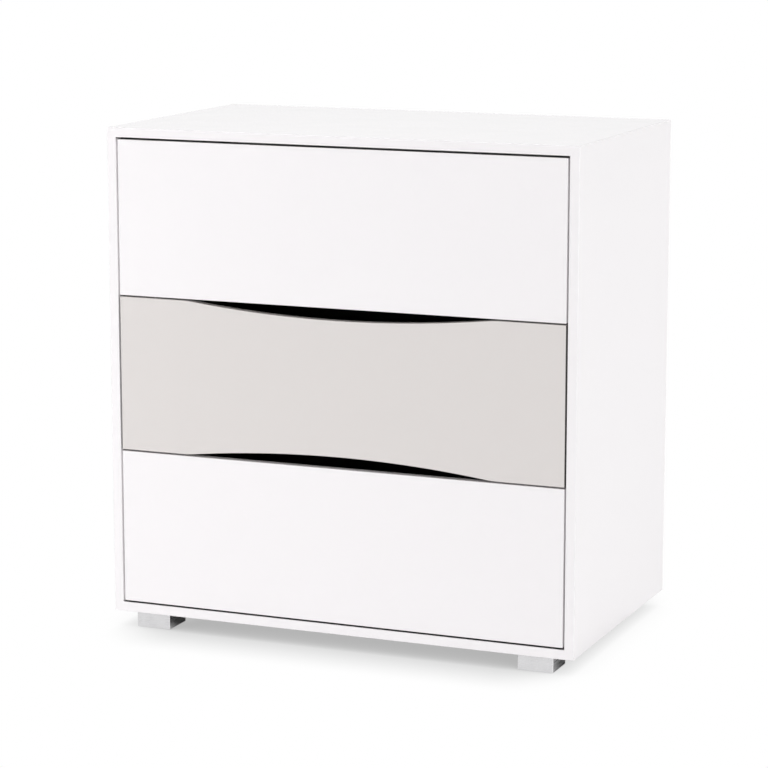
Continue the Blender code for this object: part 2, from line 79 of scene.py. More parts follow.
MM = 0.001
FOOT_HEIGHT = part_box("carcass_bottom")[0].z
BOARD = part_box("carcass_bottom")[1].z - FOOT_HEIGHT
MIDDLE_Z = (CAD_BOX[0].z + CAD_BOX[1].z + FOOT_HEIGHT) / 2.0
FRONT_Y = CAD_BOX[0].y
FRONTS_BACK_Y = FRONT_BOX[1].y
# Half the width and height of the carcass's inside, and of the row of fronts in it.
INNER_REACH: Flat = (CAD_BOX[1].x - BOARD, CAD_BOX[1].z - BOARD - MIDDLE_Z)
FRONTS_REACH: Flat = (FRONT_BOX[1].x, FRONT_BOX[1].z - MIDDLE_Z)
# A face looks along an axis where its normal has more than this along it.
FACES_AXIS = 0.7


class Side(Enum):
    """The two sides of the chest, with the sign of X there."""

    LEFT = -1
    RIGHT = 1

    @property
    def word(self) -> str:
        """The side's word in node names."""
        return self.name.lower()


class End(Enum):
    """The front and the back, with the sign of Y there."""

    FRONT = -1
    BACK = 1

    @property
    def word(self) -> str:
        """The end's word in node names."""
        return self.name.lower()


class Level(Enum):
    """The three drawers, from the floor up."""

    BOTTOM = "bottom"
    MIDDLE = "middle"
    TOP = "top"


class Axis(Enum):
    """The three axes, with their places in a vector."""

    X = 0
    Y = 1
    Z = 2


class Rail(Enum):
    """The three rails of a runner, with their words in node names."""

    CABINET = "cabinet_rail"
    INTERMEDIATE = "intermediate_rail"
    DRAWER = "drawer_rail"


class Cage(Enum):
    """The two ball cages of a runner, with their words in node names."""

    OUTER = "outer_cage"
    INNER = "inner_cage"


class Effect(Enum):
    """The surface effects that several finishes share."""

    PEEL = "orange_peel"
    WEAR = "edge_wear"
    DUST = "settled_dust"
    SCRATCH = "fine_scratches"
    LINES = "drawn_lines"
    LINEN = "linen_press"
    SPECKLE = "fibre_speckle"


@dataclass(frozen=True)
class Port:
    """One named input or output of a node tree."""

    name: str
    kind: str = "NodeSocketFloat"
    default: Setting = None


class NodeSheet:
    """Adds nodes to one tree and links them."""

    def __init__(self, tree: bpy.types.NodeTree) -> None:
        """Keep the tree.

        Args:
            tree: The tree that takes the nodes.
        """
        self.tree = tree

    @classmethod
    def of_group(
        cls, name: str, kind: str, inputs: Sequence[Port], outputs: Sequence[Port]
    ) -> tuple["NodeSheet", bpy.types.Node, bpy.types.Node]:
        """Start a new tree with named inputs and outputs.

        Args:
            name: The tree's name.
            kind: The tree's type, for shaders or for geometry.
            inputs: The inputs, in order.
            outputs: The outputs, in order.

        Returns:
            The sheet, the node that gives the inputs and the node that takes the outputs.
        """
        tree = bpy.data.node_groups.new(name, kind)
        for way, ports in (("INPUT", inputs), ("OUTPUT", outputs)):
            for port in ports:
                socket = tree.interface.new_socket(port.name, in_out=way, socket_type=port.kind)
                if port.default is not None:
                    socket.default_value = port.default
        sheet = cls(tree)
        return sheet, sheet.add("NodeGroupInput"), sheet.add("NodeGroupOutput")

    def add(
        self, kind: str, inputs: Mapping[str | int, Setting] | None = None, **settings: Setting
    ) -> bpy.types.Node:
        """Add one node.

        Args:
            kind: The node's type.
            inputs: A value or a socket for each input, by its name or number.
            **settings: The node's own properties, set before its inputs.

        Returns:
            The new node.
        """
        node = self.tree.nodes.new(kind)
        for name, setting in settings.items():
            setattr(node, name, setting)
        for key, value in (inputs or {}).items():
            self.feed(node.inputs[key], value)
        return node

    def feed(self, socket: bpy.types.NodeSocket, value: Setting) -> None:
        """Link a socket to an input, or set the input's own value.

        Args:
            socket: The input.
            value: A socket to link, or a plain value.
        """
        if isinstance(value, bpy.types.NodeSocket):
            self.tree.links.new(value, socket)
        else:
            socket.default_value = value

    def math(self, operation: str, *values: Setting) -> bpy.types.NodeSocket:
        """Add a Math node.

        Args:
            operation: The operation's name.
            *values: Its one to three operands.

        Returns:
            The result's socket.
        """
        return self.add("ShaderNodeMath", dict(enumerate(values)), operation=operation).outputs[0]

    def vector(self, operation: str, *values: Setting) -> bpy.types.NodeSocket:
        """Add a Vector Math node.

        Args:
            operation: The operation's name.
            *values: Its operands.

        Returns:
            The resulting vector's socket.
        """
        node = self.add("ShaderNodeVectorMath", dict(enumerate(values)), operation=operation)
        return node.outputs["Vector"]

    def span(
        self, value: Setting, low: float, high: float, to_low: Setting = 0.0, to_high: Setting = 1.0
    ) -> bpy.types.NodeSocket:
        """Map a value from one span to another and clamp it there.

        Args:
            value: The value to map.
            low: The value that gives to_low.
            high: The value that gives to_high.
            to_low: The result at the low end.
            to_high: The result at the high end.

        Returns:
            The result's socket.
        """
        inputs = {0: value, 1: low, 2: high, 3: to_low, 4: to_high}
        return self.add("ShaderNodeMapRange", inputs).outputs[0]

    def tint(self, share: Setting, first: Setting, second: Setting) -> bpy.types.NodeSocket:
        """Mix two colours.

        Args:
            share: The second colour's share.
            first: The colour at share 0.
            second: The colour at share 1.

        Returns:
            The mixed colour's socket.
        """
        colours = [(*c, 1.0) if isinstance(c, tuple) else c for c in (first, second)]
        node = self.add("ShaderNodeMix", {0: share, 6: colours[0], 7: colours[1]}, data_type="RGBA")
        return node.outputs[2]

    def noise(self, place: Setting, scale: Setting, detail: float = 2.0) -> bpy.types.NodeSocket:
        """Add a noise texture.

        Args:
            place: The coordinates.
            scale: How many ripples a metre holds.
            detail: How many finer layers it has.

        Returns:
            The noise value's socket, from 0 to 1.
        """
        inputs = {"Vector": place, "Scale": scale, "Detail": detail}
        return self.add("ShaderNodeTexNoise", inputs).outputs[0]

    def object_place(self) -> bpy.types.NodeSocket:
        """Return the Object coordinates."""
        return self.add("ShaderNodeTexCoord").outputs["Object"]

    def flat_place(self) -> tuple[bpy.types.NodeSocket, bpy.types.NodeSocket]:
        """Project the Object coordinates on the flat of each face, along the axis it faces most.

        Returns:
            The two coordinates in the face.
        """
        coordinates = self.add("ShaderNodeTexCoord")
        place = self.add("ShaderNodeSeparateXYZ", {0: coordinates.outputs["Object"]})
        facing = self.vector("ABSOLUTE", coordinates.outputs["Normal"])
        across, along, up = self.add("ShaderNodeSeparateXYZ", {0: facing}).outputs
        faces_x = self.math("GREATER_THAN", across, self.math("MAXIMUM", along, up))
        faces_z = self.math("GREATER_THAN", up, self.math("MAXIMUM", along, across))
        first = self.add("ShaderNodeMix", {0: faces_x, 2: place.outputs[0], 3: place.outputs[1]})
        second = self.add("ShaderNodeMix", {0: faces_z, 2: place.outputs[2], 3: place.outputs[1]})
        return first.outputs[0], second.outputs[0]


class EffectShelf:
    """Builds the group of each shared effect at its first use and places it in materials."""

    worn_samples: int = 4
    worn_bend: Flat = (0.995, 0.80)
    worn_patches: Flat = (0.35, 0.70)
    dust_lean: Flat = (0.5, 1.0)
    dust_clouds: Flat = (0.35, 0.75)
    dust_specks: Flat = (0.55, 0.75)
    dust_film: Flat = (0.6, 0.4)
    mark_leans: Flat = (0.5, -0.35)
    mark_span: Flat = (0.66, 0.74)
    long_share: float = 2.0
    line_cloud: float = 0.13
    thread_wander: Flat = (0.35, 5.0)
    cell_share: float = 0.3

    def __init__(self) -> None:
        """Start with no group built."""
        self._built: dict[Effect, bpy.types.NodeTree] = {}
        self._makers = {
            Effect.PEEL: self._peel,
            Effect.WEAR: self._wear,
            Effect.DUST: self._dust,
            Effect.SCRATCH: self._scratch,
            Effect.LINES: self._lines,
            Effect.LINEN: self._linen,
            Effect.SPECKLE: self._speckle,
        }

    def place(self, sheet: NodeSheet, effect: Effect, **values: Setting) -> Sockets:
        """Place an effect's group in a material.

        Args:
            sheet: The material's sheet.
            effect: The effect.
            **values: The group's inputs, spaces in their names written as underscores.

        Returns:
            The group's outputs.
        """
        if effect not in self._built:
            self._built[effect] = self._makers[effect](effect.value)
        inputs = {name.replace("_", " "): value for name, value in values.items()}
        return sheet.add("ShaderNodeGroup", inputs, node_tree=self._built[effect]).outputs

    @staticmethod
    def _start(
        name: str, inputs: Mapping[str, float], outputs: Sequence[str]
    ) -> tuple[NodeSheet, Sockets, Sockets]:
        """Start a shader group whose ports all hold numbers.

        Args:
            name: The group's name.
            inputs: Each input's name and default.
            outputs: The outputs' names.

        Returns:
            The sheet, the sockets that give the inputs and those that take the outputs.
        """
        given = [Port(port, default=value) for port, value in inputs.items()]
        made = [Port(port) for port in outputs]
        sheet, source, result = NodeSheet.of_group(name, "ShaderNodeTree", given, made)
        return sheet, source.outputs, result.inputs

    def _peel(self, name: str) -> bpy.types.NodeTree:
        """Make the ripple of a sprayed coat: short waves on long ones.

        Args:
            name: The group's name.

        Returns:
            The group's tree.
        """
        sheet, given, result = self._start(name, {"Ripple": 0.002, "Long Wave": 0.02}, ["Height"])
        place = sheet.object_place()
        short = sheet.noise(place, sheet.math("DIVIDE", 1.0, given["Ripple"]), detail=1.0)
        long = sheet.noise(place, sheet.math("DIVIDE", 1.0, given["Long Wave"]), detail=0.0)
        sheet.feed(result["Height"], sheet.math("MULTIPLY_ADD", long, self.long_share, short))
        return sheet.tree

    def _wear(self, name: str) -> bpy.types.NodeTree:
        """Make a mask of the rubbed edges, broken up along their length.

        Args:
            name: The group's name.

        Returns:
            The group's tree.
        """
        sheet, given, result = self._start(name, {"Radius": 0.001, "Breakup": 0.02}, ["Wear"])
        rounded = sheet.add("ShaderNodeBevel", {"Radius": given["Radius"]}, samples=self.worn_samples)
        facing = sheet.add("ShaderNodeNewGeometry").outputs["True Normal"]
        pair = {0: rounded.outputs[0], 1: facing}
        match = sheet.add("ShaderNodeVectorMath", pair, operation="DOT_PRODUCT")
        edge = sheet.span(match.outputs["Value"], *self.worn_bend)
        patches = sheet.noise(sheet.object_place(), sheet.math("DIVIDE", 1.0, given["Breakup"]), detail=3.0)
        broken = sheet.span(patches, *self.worn_patches)
        sheet.feed(result["Wear"], sheet.math("MULTIPLY", edge, broken))
        return sheet.tree

    def _dust(self, name: str) -> bpy.types.NodeTree:
        """Make a mask of the dust that settles on faces that look up.

        Args:
            name: The group's name.

        Returns:
            The group's tree.
        """
        sheet, given, result = self._start(name, {"Cloud": 0.15, "Speck": 0.0012}, ["Dust"])
        facing = sheet.add("ShaderNodeNewGeometry").outputs["Normal"]
        up = sheet.span(sheet.add("ShaderNodeSeparateXYZ", {0: facing}).outputs[2], *self.dust_lean)
        place = sheet.object_place()
        clouds = sheet.noise(place, sheet.math("DIVIDE", 1.0, given["Cloud"]), detail=4.0)
        specks = sheet.noise(place, sheet.math("DIVIDE", 1.0, given["Speck"]), detail=1.0)
        cloud = sheet.span(clouds, *self.dust_clouds)
        speck = sheet.span(specks, *self.dust_specks)
        film = sheet.math("MULTIPLY_ADD", speck, *self.dust_film)
        sheet.feed(result["Dust"], sheet.math("MULTIPLY", up, sheet.math("MULTIPLY", cloud, film)))
        return sheet.tree

    def _scratch(self, name: str) -> bpy.types.NodeTree:
        """Make a mask of fine wiping marks that run two ways.

        Args:
            name: The group's name.

        Returns:
            The group's tree.
        """
        sheet, given, result = self._start(name, {"Width": 0.0006, "Length": 0.08}, ["Scratch"])
        first, second = sheet.flat_place()
        marks = []
        for lean in self.mark_leans:
            slid = sheet.math("MULTIPLY_ADD", second, lean, first)
            across = sheet.math("DIVIDE", slid, given["Width"])
            along = sheet.math("DIVIDE", sheet.math("MULTIPLY_ADD", first, -lean, second), given["Length"])
            place = sheet.add("ShaderNodeCombineXYZ", {0: across, 1: along}).outputs[0]
            marks.append(sheet.span(sheet.noise(place, 1.0, detail=1.0), *self.mark_span))
        sheet.feed(result["Scratch"], sheet.math("MAXIMUM", *marks))
        return sheet.tree

    def _lines(self, name: str) -> bpy.types.NodeTree:
        """Make the lines of brushed or rolled metal, drawn out along the axes with a long wave.

        Args:
            name: The group's name.

        Returns:
            The group's tree.
        """
        spans = {"Wave X": 0.03, "Wave Y": 0.03, "Wave Z": 0.0003}
        sheet, given, result = self._start(name, spans, ["Height", "Tone"])
        size = sheet.add("ShaderNodeCombineXYZ", {axis: given[axis] for axis in range(3)}).outputs[0]
        place = sheet.vector("DIVIDE", sheet.object_place(), size)
        sheet.feed(result["Height"], sheet.noise(place, 1.0, detail=3.0))
        sheet.feed(result["Tone"], sheet.noise(place, self.line_cloud, detail=4.0))
        return sheet.tree

    def _linen(self, name: str) -> bpy.types.NodeTree:
        """Make a pressed linen texture: threads that cross in the flat of each face.

        Args:
            name: The group's name.

        Returns:
            The group's tree.
        """
        sheet, given, result = self._start(name, {"Thread": 0.0009}, ["Height", "Tone"])
        turn = sheet.math("DIVIDE", math.tau, given["Thread"])
        spread, wander = self.thread_wander
        uneven = sheet.noise(sheet.object_place(), sheet.math("DIVIDE", spread, given["Thread"]))
        waves = []
        for place in sheet.flat_place():
            phase = sheet.math("MULTIPLY_ADD", uneven, wander, sheet.math("MULTIPLY", place, turn))
            waves.append(sheet.math("MULTIPLY_ADD", sheet.math("SINE", phase), 0.5, 0.5))
        sheet.feed(result["Height"], sheet.math("MULTIPLY", *waves))
        sheet.feed(result["Tone"], sheet.math("MULTIPLY", sheet.math("MAXIMUM", *waves), uneven))
        return sheet.tree

    def _speckle(self, name: str) -> bpy.types.NodeTree:
        """Make the grain of pressed fibre or a moulding: cells over soft clouds.

        Args:
            name: The group's name.

        Returns:
            The group's tree.
        """
        sheet, given, result = self._start(name, {"Grain": 0.0008, "Cloud": 0.03}, ["Height", "Tone"])
        place = sheet.object_place()
        inputs = {"Vector": place, "Scale": sheet.math("DIVIDE", 1.0, given["Grain"])}
        cells = sheet.add("ShaderNodeTexVoronoi", inputs, feature="SMOOTH_F1").outputs["Distance"]
        sheet.feed(result["Height"], cells)
        cloud = sheet.noise(place, sheet.math("DIVIDE", 1.0, given["Cloud"]), detail=4.0)
        sheet.feed(result["Tone"], sheet.math("MULTIPLY_ADD", cells, self.cell_share, cloud))
        return sheet.tree


SHELF = EffectShelf()


def shade(colour: Rgb, factor: float) -> Rgb:
    """Return a colour with each of its parts multiplied."""
    return tuple(factor * part for part in colour)


@dataclass(frozen=True)
class Finish:
    """A surface finish, with the record's slot that it belongs to and how it ages."""

    name: str
    colour: Rgb
    roughness: float
    slot: str | None = None
    worn: Rgb = (0.98, 0.98, 0.97)
    worn_share: float = 0.10
    dusty: Rgb = (0.55, 0.53, 0.50)
    dusty_share: float = 0.03

    @cache
    def material(self) -> bpy.types.Material:
        """Make the finish's material at its first use.

        Returns:
            The material.
        """
        made = bpy.data.materials.new(self.name)
        made.use_nodes = True
        made.diffuse_color = (*self.colour, 1.0)
        self.mix(NodeSheet(made.node_tree), made.node_tree.nodes["Principled BSDF"])
        return made

    def mix(self, sheet: NodeSheet, shader: bpy.types.Node) -> None:
        """Wire the finish into its shader.

        Args:
            sheet: The material's sheet.
            shader: Its Principled BSDF.
        """
        raise NotImplementedError

    def age(
        self, sheet: NodeSheet, colour: Setting, wear: Setting | None = None, dust: Setting | None = None
    ) -> Setting:
        """Rub the colour off at the edges and lay dust on it.

        Args:
            sheet: The material's sheet.
            colour: The colour of the new surface.
            wear: The mask of the rubbed edges.
            dust: The mask of the dust.

        Returns:
            The aged colour.
        """
        if wear is not None:
            colour = sheet.tint(sheet.math("MULTIPLY", wear, self.worn_share), colour, self.worn)
        if dust is not None:
            colour = sheet.tint(sheet.math("MULTIPLY", dust, self.dusty_share), colour, self.dusty)
        return colour

    @staticmethod
    def emboss(sheet: NodeSheet, shader: bpy.types.Node, height: Setting, depth: float) -> None:
        """Raise the surface by a height pattern.

        Args:
            sheet: The material's sheet.
            shader: Its Principled BSDF.
            height: The pattern, from 0 to 1.
            depth: The relief between 0 and 1, in metres.
        """
        bump = sheet.add("ShaderNodeBump", {"Height": height, "Distance": depth})
        sheet.feed(shader.inputs["Normal"], bump.outputs["Normal"])


@dataclass(frozen=True)
class Lacquer(Finish):
    """A polished gloss lacquer, matt on the faces that look into the carcass.

    Those faces lie behind a plane of constant Y, within a reach from the carcass's middle and a skin.
    Where an inside colour is given, those faces take that dark colour behind a plane of its own: a
    dark facing that paints shade into the gaps and slots. An edge band shade under one darkens the
    faces that look left or right: partly a darker edge band, partly shade painted into the gaps beside the
    front.
    """

    worn_share: float = 0.04
    ripple: float = 0.0024
    long_wave: float = 0.019
    peel_depth: float = 0.000012
    clouds: float = 3.0
    cloud_span: Flat = (0.3, 0.7)
    cloud_shade: float = 0.985
    cloud_share: float = 0.35
    mark_dulling: float = 0.05
    dust_dulling: float = 0.10
    wear_dulling: float = 0.08
    matt_from_y: float = 0.0
    matt_roughness: float = 0.5
    inside_reach: Flat = INNER_REACH
    inside_skin: Flat = (0.5 * MM, 0.5 * MM)
    inside_colour: Rgb | None = None
    colour_from_y: float = 0.0
    band_shade: float = 1.0

    def mix(self, sheet: NodeSheet, shader: bpy.types.Node) -> None:
        """Wire ripple, wiping marks, dust, worn edges and the matt inside.

        Args:
            sheet: The material's sheet.
            shader: Its Principled BSDF.
        """
        dust = SHELF.place(sheet, Effect.DUST, Cloud=0.22, Speck=0.0011)["Dust"]
        wear = SHELF.place(sheet, Effect.WEAR, Radius=0.0011, Breakup=0.03)["Wear"]
        marks = SHELF.place(sheet, Effect.SCRATCH, Width=0.0007, Length=0.09)["Scratch"]
        peel = SHELF.place(sheet, Effect.PEEL, Ripple=self.ripple, Long_Wave=self.long_wave)["Height"]
        clouds = sheet.noise(sheet.object_place(), self.clouds, detail=3.0)
        clouds = sheet.span(clouds, *self.cloud_span, 0.0, self.cloud_share)
        colour = sheet.tint(clouds, self.colour, shade(self.colour, self.cloud_shade))
        colour = self.age(sheet, colour, wear, dust)
        # Painted shade: the faces that look left or right are darkened, partly as a darker edge band and
        # partly as shade painted into the gaps beside the front.
        if self.band_shade < 1.0:
            colour = sheet.tint(self._upright_edges(sheet), colour, shade(self.colour, self.band_shade))
        # Painted shade: behind a plane, the inner faces take a near-black colour, so that the gaps and slots
        # read black.
        if self.inside_colour:
            colour = sheet.tint(self._inside(sheet, self.colour_from_y), colour, self.inside_colour)
        sheet.feed(shader.inputs["Base Color"], colour)
        rough = sheet.math("MULTIPLY_ADD", marks, self.mark_dulling, self.roughness)
        rough = sheet.math("MULTIPLY_ADD", dust, self.dust_dulling, rough)
        rough = sheet.math("MULTIPLY_ADD", wear, self.wear_dulling, rough)
        inside = self._inside(sheet, self.matt_from_y)
        matt = sheet.add("ShaderNodeMix", {0: inside, 2: rough, 3: self.matt_roughness}).outputs[0]
        sheet.feed(shader.inputs["Roughness"], matt)
        self.emboss(sheet, shader, peel, self.peel_depth)

    @staticmethod
    def _upright_edges(sheet: NodeSheet) -> bpy.types.NodeSocket:
        """Mask the faces that look to the left or the right.

        Args:
            sheet: The material's sheet.

        Returns:
            The mask's socket.
        """
        facing = sheet.vector("ABSOLUTE", sheet.add("ShaderNodeTexCoord").outputs["Normal"])
        across = sheet.add("ShaderNodeSeparateXYZ", {0: facing}).outputs[0]
        return sheet.math("GREATER_THAN", across, FACES_AXIS)

    def _inside(self, sheet: NodeSheet, from_y: float) -> bpy.types.NodeSocket:
        """Mask the faces behind a plane and within the reach from the carcass's middle.

        Args:
            sheet: The material's sheet.
            from_y: The plane's Y.

        Returns:
            The mask's socket.
        """
        across, along, up = sheet.add("ShaderNodeSeparateXYZ", {0: sheet.object_place()}).outputs
        behind = sheet.math("GREATER_THAN", along, from_y)
        reach_x, reach_z = (sum(pair) for pair in zip(self.inside_reach, self.inside_skin))
        narrow = sheet.math("LESS_THAN", sheet.math("ABSOLUTE", across), reach_x)
        lift = sheet.math("ABSOLUTE", sheet.math("SUBTRACT", up, MIDDLE_Z))
        within = sheet.math("MULTIPLY", narrow, sheet.math("LESS_THAN", lift, reach_z))
        return sheet.math("MULTIPLY", behind, within)


@dataclass(frozen=True)
class FacedBoard(Finish):
    """A board faced with melamine: pressed linen on the faces across one axis, plain bands elsewhere."""

    worn: Rgb = (0.16, 0.155, 0.15)
    worn_share: float = 0.35
    dusty: Rgb = (0.40, 0.39, 0.37)
    dusty_share: float = 0.06
    thread: float = 0.0015
    press_depth: float = 0.00008
    thread_shade: float = 3.4
    thread_share: float = 0.8
    face_axis: Axis = Axis.X
    edge_gloss: float = 0.14
    thread_dulling: float = 0.12
    dust_dulling: float = 0.2

    def mix(self, sheet: NodeSheet, shader: bpy.types.Node) -> None:
        """Wire the linen press, the edge band, worn edges and dust.

        Args:
            sheet: The material's sheet.
            shader: Its Principled BSDF.
        """
        linen = SHELF.place(sheet, Effect.LINEN, Thread=self.thread)
        wear = SHELF.place(sheet, Effect.WEAR, Radius=0.0009, Breakup=0.012)["Wear"]
        dust = SHELF.place(sheet, Effect.DUST, Cloud=0.10, Speck=0.0009)["Dust"]
        share = sheet.math("MULTIPLY", linen["Tone"], self.thread_share)
        colour = sheet.tint(share, self.colour, shade(self.colour, self.thread_shade))
        sheet.feed(shader.inputs["Base Color"], self.age(sheet, colour, wear, dust))
        facing = sheet.vector("ABSOLUTE", sheet.add("ShaderNodeTexCoord").outputs["Normal"])
        faced = sheet.add("ShaderNodeSeparateXYZ", {0: facing}).outputs[self.face_axis.value]
        band = sheet.math("LESS_THAN", faced, FACES_AXIS)
        rough = sheet.math("MULTIPLY_ADD", linen["Tone"], self.thread_dulling, self.roughness)
        rough = sheet.math("MULTIPLY_ADD", band, -self.edge_gloss, rough)
        sheet.feed(shader.inputs["Roughness"], sheet.math("MULTIPLY_ADD", dust, self.dust_dulling, rough))
        pressed = sheet.math("MULTIPLY", linen["Height"], sheet.math("SUBTRACT", 1.0, band))
        self.emboss(sheet, shader, pressed, self.press_depth)


@dataclass(frozen=True)
class Hardboard(Finish):
    """Thin pressed fibreboard: painted on its face, with a coarse press screen behind."""

    dusty: Rgb = (0.45, 0.43, 0.41)
    dusty_share: float = 0.10
    raw: Rgb = (0.330, 0.215, 0.128)
    screen: float = 0.0032
    screen_depth: float = 0.00020
    back_span: Flat = (0.5, 0.6)
    fibre_span: Flat = (0.30, 0.95)
    paint_shade: float = 0.92
    fibre_shades: Flat = (1.20, 0.72)
    hollow_shade: float = 0.45
    hollow_share: float = 0.55
    fibre_relief: float = 0.15
    fibre_dulling: float = 0.15

    def mix(self, sheet: NodeSheet, shader: bpy.types.Node) -> None:
        """Wire the fibre, the screen pattern on the back face with shade painted in its hollows, and dust.

        Args:
            sheet: The material's sheet.
            shader: Its Principled BSDF.
        """
        fibre = SHELF.place(sheet, Effect.SPECKLE, Grain=0.0014, Cloud=0.008)
        screen = SHELF.place(sheet, Effect.LINEN, Thread=self.screen)
        dust = SHELF.place(sheet, Effect.DUST, Cloud=0.10, Speck=0.0009)["Dust"]
        facing = sheet.add("ShaderNodeTexCoord").outputs["Normal"]
        along = sheet.add("ShaderNodeSeparateXYZ", {0: facing}).outputs[1]
        behind = sheet.span(along, *self.back_span)
        tone = sheet.span(fibre["Tone"], *self.fibre_span)
        painted = sheet.tint(tone, self.colour, shade(self.colour, self.paint_shade))
        bare = sheet.tint(tone, *(shade(self.raw, factor) for factor in self.fibre_shades))
        hollows = sheet.math("MULTIPLY", behind, screen["Height"])
        # Painted shade: the screen's hollows are darkened in colour as well as sunk by the bump.
        share = sheet.math("MULTIPLY", hollows, self.hollow_share)
        pitted_and_shaded = sheet.tint(share, bare, shade(self.raw, self.hollow_shade))
        colour = self.age(sheet, sheet.tint(behind, painted, pitted_and_shaded), dust=dust)
        sheet.feed(shader.inputs["Base Color"], colour)
        rough = sheet.math("MULTIPLY_ADD", tone, self.fibre_dulling, self.roughness)
        sheet.feed(shader.inputs["Roughness"], rough)
        sunk = sheet.math("MULTIPLY", hollows, -1.0)
        relief = sheet.math("MULTIPLY_ADD", fibre["Height"], self.fibre_relief, sunk)
        self.emboss(sheet, shader, relief, self.screen_depth)


@dataclass(frozen=True)
class DrawnMetal(Finish):
    """Metal with lines: brushed, rolled or turned. Each wave is the lines' length along an axis."""

    worn: Rgb = (0.86, 0.86, 0.87)
    worn_share: float = 0.5
    wave: Space = (0.05, 0.05, 0.00035)
    line_depth: float = 0.000006
    line_share: float = 0.16
    line_shade: float = 0.55
    line_dulling: float = 0.6
    clouded: Rgb = (0.55, 0.56, 0.58)
    cloud_size: float = 0.02
    cloud_span: Flat = (0.38, 0.66)
    swing_span: Flat = (0.3, 0.7)
    gloss_swing: float = 0.05
    mark_dulling: float = 0.12

    def mix(self, sheet: NodeSheet, shader: bpy.types.Node) -> None:
        """Wire the lines, a clouded tint, worn edges and fine scratches.

        Args:
            sheet: The material's sheet.
            shader: Its Principled BSDF.
        """
        across, along, up = self.wave
        lines = SHELF.place(sheet, Effect.LINES, Wave_X=across, Wave_Y=along, Wave_Z=up)
        wear = SHELF.place(sheet, Effect.WEAR, Radius=0.0007, Breakup=0.01)["Wear"]
        marks = SHELF.place(sheet, Effect.SCRATCH, Width=0.0004, Length=0.03)["Scratch"]
        cloud = sheet.noise(sheet.object_place(), 1.0 / self.cloud_size, detail=3.0)
        colour = sheet.tint(sheet.span(cloud, *self.cloud_span), self.colour, self.clouded)
        drawn = sheet.math("MULTIPLY", lines["Height"], self.line_share)
        colour = sheet.tint(drawn, colour, shade(self.colour, self.line_shade))
        sheet.feed(shader.inputs["Base Color"], self.age(sheet, colour, wear))
        shader.inputs["Metallic"].default_value = 1.0
        swing = sheet.span(lines["Tone"], *self.swing_span, -self.gloss_swing, self.gloss_swing)
        dulled = sheet.math("MULTIPLY_ADD", drawn, self.line_dulling, self.roughness)
        rough = sheet.math("ADD", dulled, swing)
        sheet.feed(shader.inputs["Roughness"], sheet.math("MULTIPLY_ADD", marks, self.mark_dulling, rough))
        self.emboss(sheet, shader, lines["Height"], self.line_depth)


@dataclass(frozen=True)
class Moulding(Finish):
    """Moulded plastic with a fine spark-eroded grain, paler and smoother where it is rubbed."""

    worn_share: float = 0.3
    grain: float = 0.0006
    grain_depth: float = 0.00002
    bloom: float = 0.12
    bloom_span: Flat = (0.4, 0.9)
    bloom_pale: float = 0.25
    grain_dulling: float = 0.12
    wear_gloss: float = 0.12

    def mix(self, sheet: NodeSheet, shader: bpy.types.Node) -> None:
        """Wire the grain, rubbed edges and a dull bloom.

        Args:
            sheet: The material's sheet.
            shader: Its Principled BSDF.
        """
        grain = SHELF.place(sheet, Effect.SPECKLE, Grain=self.grain, Cloud=0.012)
        wear = SHELF.place(sheet, Effect.WEAR, Radius=0.0006, Breakup=0.006)["Wear"]
        paler = tuple(part + self.bloom_pale * (1.0 - part) for part in self.colour)
        bloom = sheet.span(grain["Tone"], *self.bloom_span, 0.0, self.bloom)
        share = sheet.math("MULTIPLY_ADD", wear, self.worn_share, bloom)
        sheet.feed(shader.inputs["Base Color"], sheet.tint(share, self.colour, paler))
        rough = sheet.math("MULTIPLY_ADD", grain["Tone"], self.grain_dulling, self.roughness)
        sheet.feed(shader.inputs["Roughness"], sheet.math("MULTIPLY_ADD", wear, -self.wear_gloss, rough))
        self.emboss(sheet, shader, grain["Height"], self.grain_depth)


WHITE: Rgb = (0.935, 0.912, 0.925)
GREIGE: Rgb = (0.735, 0.700, 0.685)
# A near-black facing inside the carcass: painted shade that darkens the gaps round the fronts and the finger
# slots.
DARK_FACING_PAINTED_SHADE: Rgb = (0.034, 0.032, 0.028)
ROUNDED_EDGE = 1.0 * MM
# The side boards stay white this far behind the front edge, so the painted shade inside starts deeper and
# the side gaps stay lighter.
PALE_BAND = 20.0 * MM
FRONTS_SKIN: Flat = (-1.5 * MM, -1.5 * MM)
LEVEL_LACQUER = Lacquer(
    "white_lacquer_level_board", WHITE, 0.13, "white_lacquer", matt_from_y=FRONT_Y + ROUNDED_EDGE,
    inside_colour=DARK_FACING_PAINTED_SHADE, colour_from_y=FRONT_Y + ROUNDED_EDGE
)
# The top board's underside is dark from the front plane on: painted shade that keeps the top gap black.
TOP_LACQUER = Lacquer(
    "white_lacquer_top_board", WHITE, 0.13, "white_lacquer", matt_from_y=FRONT_Y,
    inside_skin=(0.5 * MM, 0.9 * MM), inside_colour=DARK_FACING_PAINTED_SHADE, colour_from_y=FRONT_Y
)
UPRIGHT_LACQUER = Lacquer(
    "white_lacquer_upright_board", WHITE, 0.13, "white_lacquer", matt_from_y=FRONT_Y + ROUNDED_EDGE,
    inside_colour=DARK_FACING_PAINTED_SHADE, colour_from_y=FRONT_Y + PALE_BAND
)
FRONT_LACQUER = Lacquer(
    "white_lacquer_front", WHITE, 0.12, "white_lacquer", matt_from_y=FRONTS_BACK_Y - 0.5 * MM,
    inside_reach=FRONTS_REACH, inside_skin=FRONTS_SKIN
)
